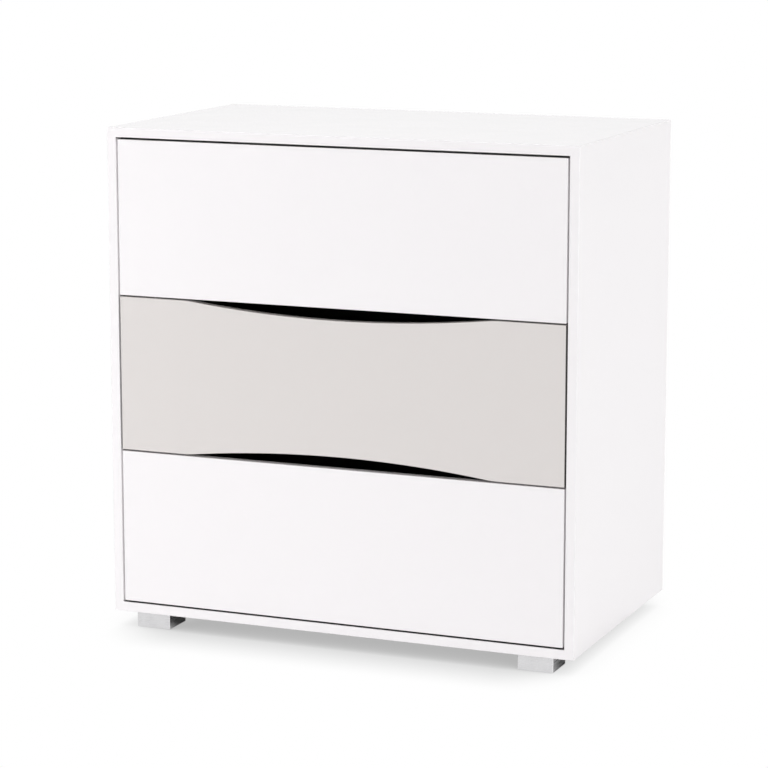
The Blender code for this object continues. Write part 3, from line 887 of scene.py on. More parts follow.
# The greige front's upright edges are darkened: partly a darker edge band, partly shade painted into the
# gaps beside it.
GREIGE_LACQUER = Lacquer(
    "greige_lacquer_front", GREIGE, 0.12, "greige_lacquer", matt_from_y=FRONTS_BACK_Y - 0.5 * MM,
    inside_reach=FRONTS_REACH, inside_skin=FRONTS_SKIN, band_shade=0.20
)
SIDE_BOARD = FacedBoard("graphite_board_side", (0.020, 0.020, 0.022), 0.52, "graphite_board")
BACK_BOARD = FacedBoard(
    "graphite_board_back", (0.020, 0.020, 0.022), 0.52, "graphite_board", face_axis=Axis.Y
)
BOX_BOTTOM = FacedBoard(
    "graphite_box_bottom", (0.016, 0.016, 0.018), 0.60, "graphite_hardboard", thread=0.0019,
    face_axis=Axis.Z
)
BACK_PANEL = Hardboard("painted_hardboard", (0.82, 0.81, 0.79), 0.55, "white_hardboard")
SLEEVE_METAL = DrawnMetal(
    "brushed_sleeve_metal", (0.71, 0.705, 0.715), 0.24, "brushed_aluminium", clouded=(0.665, 0.66, 0.67)
)
RAIL_STEEL = DrawnMetal(
    "zinc_rail_steel", (0.55, 0.56, 0.58), 0.30, "zinc_steel", wave=(0.0005, 0.09, 0.0005),
    line_share=0.10, clouded=(0.60, 0.60, 0.57)
)
SCREW_STEEL = DrawnMetal(
    "screw_steel", (0.58, 0.58, 0.59), 0.24, "zinc_steel", wave=(0.0006, 0.0006, 0.0006), cloud_size=0.004
)
CAM_ZINC = DrawnMetal(
    "cam_zinc", (0.42, 0.42, 0.43), 0.38, "zinc_steel", wave=(0.0009, 0.0009, 0.0009), cloud_size=0.006
)
STRIP_STEEL = DrawnMetal(
    "cage_strip_steel", (0.42, 0.42, 0.44), 0.28, "cage_steel", wave=(0.0004, 0.03, 0.0004), cloud_size=0.01
)
BALL_STEEL = DrawnMetal(
    "ball_steel", (0.66, 0.66, 0.68), 0.07, "cage_steel", wave=(0.0003, 0.0003, 0.0003), line_share=0.04,
    line_depth=0.0000005, cloud_size=0.003
)
BLACK_PLASTIC = Moulding("black_moulded_plastic", (0.020, 0.020, 0.020), 0.42, "black_plastic")
WHITE_PLASTIC = Moulding("white_clip_plastic", (0.80, 0.80, 0.78), 0.40)


def point_mesh(name: str, points: Sequence[Vector], facing: Sequence[Vector]) -> bpy.types.Mesh:
    """Make a mesh of loose points that each face a way.

    Args:
        name: The mesh's name.
        points: The points.
        facing: The way that each faces, as long as the list of points.

    Returns:
        The mesh, with the ways in its attribute "facing".
    """
    mesh = bpy.data.meshes.new(name)
    mesh.from_pydata([tuple(point) for point in points], [], [])
    ways = mesh.attributes.new("facing", "FLOAT_VECTOR", "POINT")
    ways.data.foreach_set("vector", [part for way in facing for part in way])
    return mesh


def line_mesh(name: str, lines: Sequence[Sequence[Vector]]) -> bpy.types.Mesh:
    """Make a mesh of open lines.

    Args:
        name: The mesh's name.
        lines: Each line's points, in order.

    Returns:
        The mesh.
    """
    points: list[tuple[float, ...]] = []
    edges: list[tuple[int, int]] = []
    for line in lines:
        first = len(points)
        points += [tuple(point) for point in line]
        edges += [(first + step, first + step + 1) for step in range(len(line) - 1)]
    mesh = bpy.data.meshes.new(name)
    mesh.from_pydata(points, edges, [])
    return mesh


@dataclass(frozen=True)
class Head:
    """Sizes of a countersunk head with a cross recess."""

    radius: float = 0.0034
    shank: float = 0.0020
    depth: float = 0.0016
    rise: float = 0.0002
    cross_length: float = 0.0036
    cross_width: float = 0.0008
    cross_depth: float = 0.0011
    sides: int = 20

    def lengths(self) -> dict[str, float]:
        """Name the head's lengths as its recipe does.

        Returns:
            Each length by its name.
        """
        return {
            "Head Radius": self.radius, "Shank Radius": self.shank, "Depth": self.depth, "Rise": self.rise,
            "Cross Length": self.cross_length, "Cross Width": self.cross_width,
            "Cross Depth": self.cross_depth,
        }


class Recipe:
    """A Geometry Nodes tree with named inputs, run once for each piece."""

    tree: bpy.types.NodeTree

    def run(self, name: str, start: bpy.types.Mesh, values: Mapping[str, Setting]) -> bpy.types.Object:
        """Run the tree on a start mesh and keep the result as a plain mesh.

        Args:
            name: The piece's name.
            start: The mesh that the tree starts from.
            values: The tree's inputs, by their names.

        Returns:
            The piece, with no modifier left on it.
        """
        piece = bpy.data.objects.new(name, start)
        bpy.context.scene.collection.objects.link(piece)
        modifier = piece.modifiers.new("recipe", "NODES")
        modifier.node_group = self.tree
        for socket in self.tree.interface.items_tree:
            if socket.in_out == "INPUT" and socket.name in values:
                modifier[socket.identifier] = values[socket.name]
        graph = bpy.context.evaluated_depsgraph_get()
        made = bpy.data.meshes.new_from_object(piece.evaluated_get(graph))
        made.name = name
        piece.modifiers.remove(modifier)
        piece.data = made
        bpy.data.meshes.remove(start)
        return piece

    @staticmethod
    def rounded_look(sheet: NodeSheet, shape: Setting, angle: float) -> bpy.types.NodeSocket:
        """Shade a shape smooth and keep its steep edges sharp.

        Args:
            sheet: The tree's sheet.
            shape: The shape's socket.
            angle: The angle above which an edge stays sharp, in degrees.

        Returns:
            The shaded shape's socket.
        """
        soft = sheet.add("GeometryNodeSetShadeSmooth", {0: shape, "Shade Smooth": True}, domain="FACE")
        bend = sheet.add("GeometryNodeInputMeshEdgeAngle").outputs["Unsigned Angle"]
        steep = sheet.math("GREATER_THAN", bend, math.radians(angle))
        inputs = {0: soft.outputs[0], "Selection": steep, "Shade Smooth": False}
        return sheet.add("GeometryNodeSetShadeSmooth", inputs, domain="EDGE").outputs[0]


class FastenerRecipe(Recipe):
    """Countersunk heads with a cross recess, one at each point of the start mesh."""

    lens_share: float = 0.78
    sharp_angle: float = 35.0

    def __init__(self) -> None:
        """Build the tree."""
        plain = Head()
        ports = [Port("Geometry", "NodeSocketGeometry")]
        ports += [Port(name, default=size) for name, size in plain.lengths().items()]
        ports += [Port("Sides", "NodeSocketInt", plain.sides), Port("Seed", "NodeSocketInt", 1)]
        ports += [Port("Material", "NodeSocketMaterial")]
        out = [Port("Geometry", "NodeSocketGeometry")]
        sheet, source, result = NodeSheet.of_group("fastener_heads", "GeometryNodeTree", ports, out)
        given = source.outputs
        head = self._head(sheet, given)
        facing = sheet.add("GeometryNodeInputNamedAttribute", {"Name": "facing"}, data_type="FLOAT_VECTOR")
        aligned = sheet.add("FunctionNodeAlignRotationToVector", {"Vector": facing.outputs[0]}, axis="Z")
        spin = sheet.add("FunctionNodeRandomValue", {2: 0.0, 3: math.tau, "Seed": given["Seed"]})
        turn = sheet.add("ShaderNodeCombineXYZ", {2: spin.outputs[1]})
        turned = sheet.add(
            "FunctionNodeRotateRotation",
            {0: aligned.outputs[0], 1: turn.outputs[0]},
            rotation_space="LOCAL",
        )
        heads = sheet.add(
            "GeometryNodeInstanceOnPoints",
            {"Points": given["Geometry"], "Instance": head, "Rotation": turned.outputs[0]},
        )
        real = sheet.add("GeometryNodeRealizeInstances", {0: heads.outputs[0]})
        inputs = {0: real.outputs[0], "Material": given["Material"]}
        sheet.feed(result.inputs[0], sheet.add("GeometryNodeSetMaterial", inputs).outputs[0])
        self.tree = sheet.tree

    def put(
        self, name: str, points: Sequence[Vector], facing: Sequence[Vector], head: Head, seed: int,
        finish: Finish
    ) -> bpy.types.Object:
        """Make a group of heads.

        Args:
            name: The piece's name.
            points: The middle of each head's rim.
            facing: The way that each head faces.
            head: The sizes of the heads.
            seed: The seed of the turns of their crosses.
            finish: Their finish.

        Returns:
            The piece.
        """
        values = {"Sides": head.sides, "Seed": seed, "Material": finish.material()}
        return self.run(name, point_mesh(name, points, facing), head.lengths() | values)

    def _head(self, sheet: NodeSheet, given: Sockets) -> bpy.types.NodeSocket:
        """Build one head, its rim at height zero: a cone, a low lens on top and the cross cut in.

        Args:
            sheet: The tree's sheet.
            given: The tree's inputs.

        Returns:
            The head's socket.
        """
        cone = sheet.add(
            "GeometryNodeMeshCone",
            {"Vertices": given["Sides"], "Radius Top": given["Head Radius"],
             "Radius Bottom": given["Shank Radius"], "Depth": given["Depth"]},
        )
        down = sheet.add("ShaderNodeCombineXYZ", {2: sheet.math("MULTIPLY", given["Depth"], -1.0)})
        lowered = {0: cone.outputs["Mesh"], "Translation": down.outputs[0]}
        seated = sheet.add("GeometryNodeTransform", lowered)
        raised = sheet.add(
            "GeometryNodeExtrudeMesh",
            {"Mesh": seated.outputs[0], "Selection": cone.outputs["Top"], "Offset Scale": given["Rise"],
             "Individual": False},
            mode="FACES",
        )
        lens = sheet.add(
            "GeometryNodeScaleElements",
            {"Geometry": raised.outputs["Mesh"], "Selection": raised.outputs["Top"],
             "Scale": self.lens_share},
            domain="FACE",
        )
        depth = sheet.math("MULTIPLY", given["Cross Depth"], 2.0)
        inputs = {"Mesh 1": lens.outputs[0], "Self Intersection": True}
        cut = sheet.add("GeometryNodeMeshBoolean", inputs, operation="DIFFERENCE", solver="EXACT")
        for first, second in (("Cross Length", "Cross Width"), ("Cross Width", "Cross Length")):
            size = sheet.add("ShaderNodeCombineXYZ", {0: given[first], 1: given[second], 2: depth})
            bar = sheet.add("GeometryNodeMeshCube", {"Size": size.outputs[0]})
            lift = sheet.add("ShaderNodeCombineXYZ", {2: given["Rise"]})
            placed = sheet.add("GeometryNodeTransform", {0: bar.outputs[0], "Translation": lift.outputs[0]})
            sheet.tree.links.new(placed.outputs[0], cut.inputs["Mesh 2"])
        return self.rounded_look(sheet, cut.outputs["Mesh"], self.sharp_angle)


class CageRecipe(Recipe):
    """A ball cage: a thin folded strip along a path, with windows that hold two rows of balls."""

    drill_sides: int = 20
    drill_overrun: float = 5.0
    ball_segments: int = 18
    ball_rings: int = 12
    bend_steps: int = 4
    sharp_strip: float = 40.0
    sharp_ball: float = 60.0
    weld: float = 0.000001
    ball_mark: str = "ball"

    def __init__(self) -> None:
        """Build the tree."""
        lengths = {"Length": 180.0, "Sheet": 0.4, "Bend Radius": 0.6, "Ball Diameter": 3.2,
                   "Window Diameter": 3.0, "Ball Pitch": 50.0}
        ports = [Port("Geometry", "NodeSocketGeometry")]
        ports += [Port(name, default=size * MM) for name, size in lengths.items()]
        ports += [Port("First Ball", "NodeSocketVector"), Port("Row Height")]
        ports += [Port("Balls", "NodeSocketInt", 4)]
        ports += [Port("Strip Material", "NodeSocketMaterial"), Port("Ball Material", "NodeSocketMaterial")]
        out = [Port("Geometry", "NodeSocketGeometry")]
        sheet, source, result = NodeSheet.of_group("ball_cage", "GeometryNodeTree", ports, out)
        given = source.outputs
        places = self._ball_places(sheet, given)
        strip = self._drilled_strip(sheet, given, places)
        balls = self._copies(sheet, places, self._ball(sheet, given))
        sheet.feed(result.inputs[0], self._coat(sheet, given, strip, balls))
        self.tree = sheet.tree

    def _coat(
        self, sheet: NodeSheet, given: Sockets, strip: Setting, balls: Setting
    ) -> bpy.types.NodeSocket:
        """Join the strip and the balls, make the copies real and give each its material.

        Args:
            sheet: The tree's sheet.
            given: The tree's inputs.
            strip: The strip's socket.
            balls: The socket of the balls' copies.

        Returns:
            The cage's socket.
        """
        mark = {0: balls, "Name": self.ball_mark, "Value": True}
        marked = sheet.add("GeometryNodeStoreNamedAttribute", mark, data_type="BOOLEAN", domain="INSTANCE")
        both = sheet.add("GeometryNodeJoinGeometry")
        for shape in (strip, marked.outputs[0]):
            sheet.tree.links.new(shape, both.inputs[0])
        real = sheet.add("GeometryNodeRealizeInstances", {0: both.outputs[0]})
        every = {0: real.outputs[0], "Material": given["Strip Material"]}
        coated = sheet.add("GeometryNodeSetMaterial", every)
        is_ball = sheet.add("GeometryNodeInputNamedAttribute", {"Name": self.ball_mark}, data_type="BOOLEAN")
        chosen = {0: coated.outputs[0], "Selection": is_ball.outputs[0], "Material": given["Ball Material"]}
        return sheet.add("GeometryNodeSetMaterial", chosen).outputs[0]

    def _drilled_strip(self, sheet: NodeSheet, given: Sockets, places: Setting) -> bpy.types.NodeSocket:
        """Drill a window in the strip at each ball.

        Args:
            sheet: The tree's sheet.
            given: The tree's inputs.
            places: The socket of the balls' points.

        Returns:
            The strip's socket.
        """
        radius = sheet.math("MULTIPLY", given["Window Diameter"], 0.5)
        depth = sheet.math("MULTIPLY", given["Sheet"], self.drill_overrun)
        drill = sheet.add(
            "GeometryNodeMeshCylinder", {"Vertices": self.drill_sides, "Radius": radius, "Depth": depth}
        )
        drills = self._copies(sheet, places, drill.outputs["Mesh"])
        cutters = sheet.add("GeometryNodeRealizeInstances", {0: drills})
        inputs = {"Mesh 1": self._strip(sheet, given)}
        cut = sheet.add("GeometryNodeMeshBoolean", inputs, operation="DIFFERENCE", solver="EXACT")
        sheet.tree.links.new(cutters.outputs[0], cut.inputs["Mesh 2"])
        return self.rounded_look(sheet, cut.outputs["Mesh"], self.sharp_strip)

    def _ball(self, sheet: NodeSheet, given: Sockets) -> bpy.types.NodeSocket:
        """Make one ball.

        Args:
            sheet: The tree's sheet.
            given: The tree's inputs.

        Returns:
            The ball's socket.
        """
        half = sheet.math("MULTIPLY", given["Ball Diameter"], 0.5)
        inputs = {"Segments": self.ball_segments, "Rings": self.ball_rings, "Radius": half}
        ball = sheet.add("GeometryNodeMeshUVSphere", inputs)
        return self.rounded_look(sheet, ball.outputs["Mesh"], self.sharp_ball)

    @staticmethod
    def _copies(sheet: NodeSheet, places: Setting, shape: Setting) -> bpy.types.NodeSocket:
        """Set a copy of a shape at each place."""
        return sheet.add("GeometryNodeInstanceOnPoints", {"Points": places, "Instance": shape}).outputs[0]

    @staticmethod
    def _ball_places(sheet: NodeSheet, given: Sockets) -> bpy.types.NodeSocket:
        """Lay out the two rows of balls, one above the other.

        Args:
            sheet: The tree's sheet.
            given: The tree's inputs.

        Returns:
            The socket of the points.
        """
        step = sheet.add("ShaderNodeCombineXYZ", {1: given["Ball Pitch"]}).outputs[0]
        rows = sheet.add("GeometryNodeJoinGeometry")
        for way in (1.0, -1.0):
            rise = sheet.add("ShaderNodeCombineXYZ", {2: sheet.math("MULTIPLY", given["Row Height"], way)})
            start = sheet.vector("ADD", given["First Ball"], rise.outputs[0])
            inputs = {"Count": given["Balls"], "Start Location": start, "Offset": step}
            line = sheet.add("GeometryNodeMeshLine", inputs, mode="OFFSET")
            sheet.tree.links.new(line.outputs[0], rows.inputs[0])
        return rows.outputs[0]

    def _strip(self, sheet: NodeSheet, given: Sockets) -> bpy.types.NodeSocket:
        """Fold the strip: round the path's corners, run it along Y and give it its thickness.

        Args:
            sheet: The tree's sheet.
            given: The tree's inputs.

        Returns:
            The strip's socket.
        """
        path = sheet.add("GeometryNodeMeshToCurve", {0: given["Geometry"]})
        rounded = sheet.add(
            "GeometryNodeFilletCurve",
            {"Curve": path.outputs[0], "Radius": given["Bend Radius"], "Count": self.bend_steps,
             "Limit Radius": True},
            mode="POLY",
        )
        line = sheet.add("GeometryNodeCurveToMesh", {"Curve": rounded.outputs[0]})
        run = sheet.add("ShaderNodeCombineXYZ", {1: given["Length"]})
        skin = sheet.add(
            "GeometryNodeExtrudeMesh",
            {"Mesh": line.outputs[0], "Offset": run.outputs[0], "Offset Scale": 1.0},
            mode="EDGES",
        )
        facing = sheet.add("GeometryNodeInputNormal").outputs[0]
        inward = sheet.add(
            "ShaderNodeVectorMath",
            {0: facing, "Scale": sheet.math("MULTIPLY", given["Sheet"], -0.5)},
            operation="SCALE",
        )
        base = sheet.add(
            "GeometryNodeSetPosition", {"Geometry": skin.outputs["Mesh"], "Offset": inward.outputs[0]}
        ).outputs[0]
        raised = sheet.add(
            "GeometryNodeExtrudeMesh",
            {"Mesh": base, "Offset Scale": given["Sheet"], "Individual": False},
            mode="FACES",
        )
        under = sheet.add("GeometryNodeFlipFaces", {0: base})
        shell = sheet.add("GeometryNodeJoinGeometry")
        for part in (raised.outputs["Mesh"], under.outputs[0]):
            sheet.tree.links.new(part, shell.inputs[0])
        inputs = {0: shell.outputs[0], "Distance": self.weld}
        return sheet.add("GeometryNodeMergeByDistance", inputs).outputs[0]


class ClipRecipe(Recipe):
    """Plastic wedges that press a thin panel into its groove, spaced along each start edge."""

    corners_along: tuple[int, int, int] = (4, 5, 2)

    def __init__(self) -> None:
        """Build the tree."""
        ports = [Port("Geometry", "NodeSocketGeometry"), Port("Clips", "NodeSocketInt", 4),
                 Port("Size", "NodeSocketVector"), Port("Taper", default=0.35),
                 Port("Material", "NodeSocketMaterial")]
        out = [Port("Geometry", "NodeSocketGeometry")]
        sheet, source, result = NodeSheet.of_group("panel_clips", "GeometryNodeTree", ports, out)
        given = source.outputs
        lines = sheet.add("GeometryNodeMeshToCurve", {0: given["Geometry"]})
        points = sheet.add(
            "GeometryNodeCurveToPoints", {"Curve": lines.outputs[0], "Count": given["Clips"]}, mode="COUNT"
        )
        out_of_panel = sheet.add("FunctionNodeAlignRotationToVector", {"Vector": (0.0, 1.0, 0.0)}, axis="Z")
        along = sheet.add(
            "FunctionNodeAlignRotationToVector",
            {"Rotation": out_of_panel.outputs[0], "Vector": points.outputs["Tangent"]},
            axis="X",
            pivot_axis="Z",
        )
        copies = sheet.add(
            "GeometryNodeInstanceOnPoints",
            {"Points": points.outputs["Points"], "Instance": self._wedge(sheet, given),
             "Rotation": along.outputs[0]},
        )
        real = sheet.add("GeometryNodeRealizeInstances", {0: copies.outputs[0]})
        inputs = {0: real.outputs[0], "Material": given["Material"]}
        sheet.feed(result.inputs[0], sheet.add("GeometryNodeSetMaterial", inputs).outputs[0])
        self.tree = sheet.tree

    def _wedge(self, sheet: NodeSheet, given: Sockets) -> bpy.types.NodeSocket:
        """Build one wedge: it rises from the panel, thick at the board and thin away from it.

        Args:
            sheet: The tree's sheet.
            given: The tree's inputs.

        Returns:
            The wedge's socket.
        """
        loops = {f"Vertices {axis}": count for axis, count in zip("XYZ", self.corners_along)}
        block = sheet.add("GeometryNodeMeshCube", {"Size": given["Size"]} | loops)
        half = sheet.vector("MULTIPLY", given["Size"], (0.0, 0.5, 0.5))
        seated = sheet.add("GeometryNodeTransform", {0: block.outputs["Mesh"], "Translation": half})
        place = sheet.add("GeometryNodeInputPosition").outputs[0]
        parts = sheet.add("ShaderNodeSeparateXYZ", {0: place}).outputs
        width = sheet.add("ShaderNodeSeparateXYZ", {0: given["Size"]}).outputs[1]
        share = sheet.math("DIVIDE", parts[1], width)
        keep = sheet.add("ShaderNodeMix", {0: share, 2: 1.0, 3: given["Taper"]}).outputs[0]
        moved = sheet.add(
            "ShaderNodeCombineXYZ", {0: parts[0], 1: parts[1], 2: sheet.math("MULTIPLY", parts[2], keep)}
        )
        return sheet.add(
            "GeometryNodeSetPosition", {"Geometry": seated.outputs[0], "Position": moved.outputs[0]}
        ).outputs[0]


class SmoothRecipe(Recipe):
    """Welds a solid's loose triangles and shades its round stretches smooth."""

    weld: float = 0.000002
    sharp_angle: float = 50.0

    def __init__(self) -> None:
        """Build the tree."""
        ports = [Port("Geometry", "NodeSocketGeometry")]
        sheet, source, result = NodeSheet.of_group("weld_and_smooth", "GeometryNodeTree", ports, ports)
        plain = sheet.add("GeometryNodeRemoveAttribute", {0: source.outputs[0], "Name": "custom_normal"})
        welded = sheet.add("GeometryNodeMergeByDistance", {0: plain.outputs[0], "Distance": self.weld})
        sheet.feed(result.inputs[0], self.rounded_look(sheet, welded.outputs[0], self.sharp_angle))
        self.tree = sheet.tree

    def put_on(self, solid: bpy.types.Object) -> None:
        """Leave the tree on a CAD solid, and let its wide faces rule the shading of its edges.

        Args:
            solid: The CAD solid, whose own mesh stays as it is.
        """
        solid.modifiers.new("weld_and_smooth", "NODES").node_group = self.tree
        weighted = solid.modifiers.new("wide_faces_rule", "WEIGHTED_NORMAL")
        weighted.keep_sharp = True


class Bench:
    """Dresses solids, finishes pieces and hands them to the bodies that carry them."""

    def __init__(self) -> None:
        """Build the recipes."""
        self.fasteners = FastenerRecipe()
        self.cages = CageRecipe()
        self.clips = ClipRecipe()
        self.smooth = SmoothRecipe()
        self.count = 0

    def dress(self, node: str, finish: Finish) -> None:
        """Give a CAD solid its finish and smooth shading.

        Args:
            node: The solid's node name.
            finish: Its finish.
        """
        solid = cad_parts[node]
        if not solid.material_slots:
            solid.data.materials.append(None)
        for slot in solid.material_slots:
            slot.material = finish.material()
        self.smooth.put_on(solid)
        self._report(node, finish)

    def deliver(
        self, piece: bpy.types.Object, body: str, finish: Finish, stands_for: Sequence[str] = ()
    ) -> None:
        """Hand a finished piece to the body that carries it.

        Args:
            piece: The piece, at its place in the shared frame.
            body: The body that it rides on.
            finish: Its finish, which is put on where the piece has none.
            stands_for: The CAD nodes that it replaces.
        """
        if not piece.data.materials:
            piece.data.materials.append(finish.material())
        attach(piece, body)
        if stands_for:
            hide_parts(*stands_for)
        self._report(piece.name, finish)

    def _report(self, name: str, finish: Finish) -> None:
        """Count a piece and log its finish."""
        self.count += 1
        LOG.info("%02d %s: %s", self.count, name, finish.name)


PLATE_EDGE_STEPS = 3
PLATE_SHARP_ANGLE = 40.0


def plate(name: str, outline: Sequence[Vector], thickness: Vector, bevel: float = 0.0) -> bpy.types.Object:
    """Make a flat plate from an outline, its edges rounded.

    Args:
        name: The piece's name.
        outline: The corners of one face, in order.
        thickness: The way and the distance to the other face.
        bevel: The radius of the rounded edges.

    Returns:
        The plate.
    """
    shape = bmesh.new()
    face = shape.faces.new([shape.verts.new(corner) for corner in outline])
    raised = bmesh.ops.extrude_face_region(shape, geom=[face])
    moved = [item for item in raised["geom"] if isinstance(item, bmesh.types.BMVert)]
    bmesh.ops.translate(shape, vec=thickness, verts=moved)
    if bevel > 0.0:
        bmesh.ops.bevel(
            shape, geom=list(shape.edges), offset=bevel, segments=PLATE_EDGE_STEPS, profile=0.5,
            affect="EDGES", clamp_overlap=True
        )
    bmesh.ops.recalc_face_normals(shape, faces=shape.faces)
    mesh = bpy.data.meshes.new(name)
    shape.to_mesh(mesh)
    shape.free()
    mesh.shade_smooth()
    mesh.set_sharp_from_angle(angle=math.radians(PLATE_SHARP_ANGLE))
    piece = bpy.data.objects.new(name, mesh)
    bpy.context.scene.collection.objects.link(piece)
    return piece


@dataclass
class Carcass:
    """The four mitred boards and the back panel."""

    corner_radius: float = 0.0015
    edge_radius: float = ROUNDED_EDGE
    filler: float = 0.00028
    notch_gap_beside: float = 0.0005
    notch_gap_ahead: float = 0.0010
    clip_size: Space = (0.020, 0.013, 0.0042)
    clips_across: int = 5
    clips_up: int = 5
    clip_margin: float = 0.075
    clip_gap: float = 0.0002
    corner_steps: int = 3

    def build(self, bench: Bench) -> None:
        """Dress the boards and the panel, then add joint filler and clips.

        Args:
            bench: The bench that finishes the pieces.
        """
        bench.dress("carcass_top", TOP_LACQUER)
        bench.dress("carcass_bottom", LEVEL_LACQUER)
        for side in Side:
            bench.dress(f"carcass_side_{side.word}", UPRIGHT_LACQUER)
        bench.dress("back_panel", BACK_PANEL)
        self._fill_mitres(bench)
        self._clip_panel(bench)

    def _fill_mitres(self, bench: Bench) -> None:
        """Fill the hairline of each mitre, so that the lacquer runs over it.

        Args:
            bench: The bench that finishes the pieces.
        """
        low, high = CAD_BOX
        base = low.z + FOOT_HEIGHT
        for side in Side:
            for word, edge_z, way in (("bottom", base, -1.0), ("top", high.z, 1.0)):
                inner = Vector((side.value * (high.x - BOARD), low.y, edge_z - way * BOARD))
                along = Vector((side.value, 0.0, way)).normalized()
                square = Vector((-way, 0.0, side.value)).normalized()
                length = (BOARD - self.corner_radius) * math.sqrt(2.0) + self.corner_radius
                outline = self._filler_outline(inner, along, length)
                start = [corner - square * self.filler / 2.0 for corner in outline]
                piece = plate(f"mitre_filler_{word}_{side.word}", start, square * self.filler)
                bench.deliver(piece, "carcass", LEVEL_LACQUER)

    def _filler_outline(self, inner: Vector, along: Vector, length: float) -> list[Vector]:
        """Return the filler's outline, notched where the back panel's corner passes.

        Args:
            inner: The carcass's inner corner at its front.
            along: The way from there to the outer corner.
            length: The distance to the outer corner.

        Returns:
            The corners in the plane of the mitre.
        """
        low, high = CAD_BOX
        panel_low, panel_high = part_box("back_panel")
        depth = high.y - low.y
        notch_y = panel_low.y - self.notch_gap_ahead - low.y
        notch = (panel_high.x - INNER_REACH[0] + self.notch_gap_beside) * math.sqrt(2.0)
        radius = self.edge_radius
        flat = [(0.0, notch_y), (notch, notch_y), (notch, depth)]
        flat += [(length - radius, depth), (length, depth - radius)]
        quarter = [math.pi / 2.0 * step / self.corner_steps for step in range(self.corner_steps + 1)]
        for first, sign, turns in ((length, -1.0, quarter), (0.0, 1.0, quarter[::-1])):
            for turn in turns:
                across = first + sign * radius * (1.0 - math.cos(turn))
                flat.append((across, radius * (1.0 - math.sin(turn))))
        return [inner + along * across + Vector((0.0, deep, 0.0)) for across, deep in flat]

    def _clip_panel(self, bench: Bench) -> None:
        """Press the back panel home with plastic wedges along the four boards.

        Args:
            bench: The bench that finishes the pieces.
        """
        panel_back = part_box("back_panel")[1].y
        half, reach_z = INNER_REACH
        bottom = MIDDLE_Z - reach_z
        top = MIDDLE_Z + reach_z
        margin = self.clip_margin
        level = panel_back + self.clip_gap

        def at(across: float, up: float) -> Vector:
            """Return a point on the back panel's rear face."""
            return Vector((across, level, up))

        rows = {
            "level": ([[at(half - margin, bottom), at(margin - half, bottom)],
                       [at(margin - half, top), at(half - margin, top)]], self.clips_across),
            "upright": ([[at(-half, bottom + margin), at(-half, top - margin)],
                         [at(half, top - margin), at(half, bottom + margin)]], self.clips_up),
        }
        for name, (lines, count) in rows.items():
            values = {"Clips": count, "Size": self.clip_size, "Material": WHITE_PLASTIC.material()}
            piece = bench.clips.run(f"panel_clips_{name}", line_mesh(name, lines), values)
            bench.deliver(piece, "carcass", WHITE_PLASTIC)


@dataclass
class Feet:
    """The four feet: a metal sleeve round a plastic core, each core held by a screw."""

    screw_depth: float = 0.0125
    screw: Head = Head(
        radius=0.0047, shank=0.0034, depth=0.0030, rise=0.0008, cross_length=0.0052, cross_width=0.0012,
        cross_depth=0.0022, sides=28
    )
    screw_seed: int = 5

    def build(self, bench: Bench) -> None:
        """Dress the feet and set the screw in the bore of each core.

        Args:
            bench: The bench that finishes the pieces.
        """
        points = []
        for end in End:
            for side in Side:
                place = f"{end.word}_{side.word}"
                bench.dress(f"foot_sleeve_{place}", SLEEVE_METAL)
                bench.dress(f"foot_core_{place}", BLACK_PLASTIC)
                low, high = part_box(f"foot_core_{place}")
                points.append(Vector(((low.x + high.x) / 2.0, (low.y + high.y) / 2.0, self.screw_depth)))
        down = [Vector((0.0, 0.0, -1.0))] * len(points)
        heads = (points, down, self.screw, self.screw_seed, SCREW_STEEL)
        bench.deliver(bench.fasteners.put("foot_screws", *heads), "carcass", SCREW_STEEL)


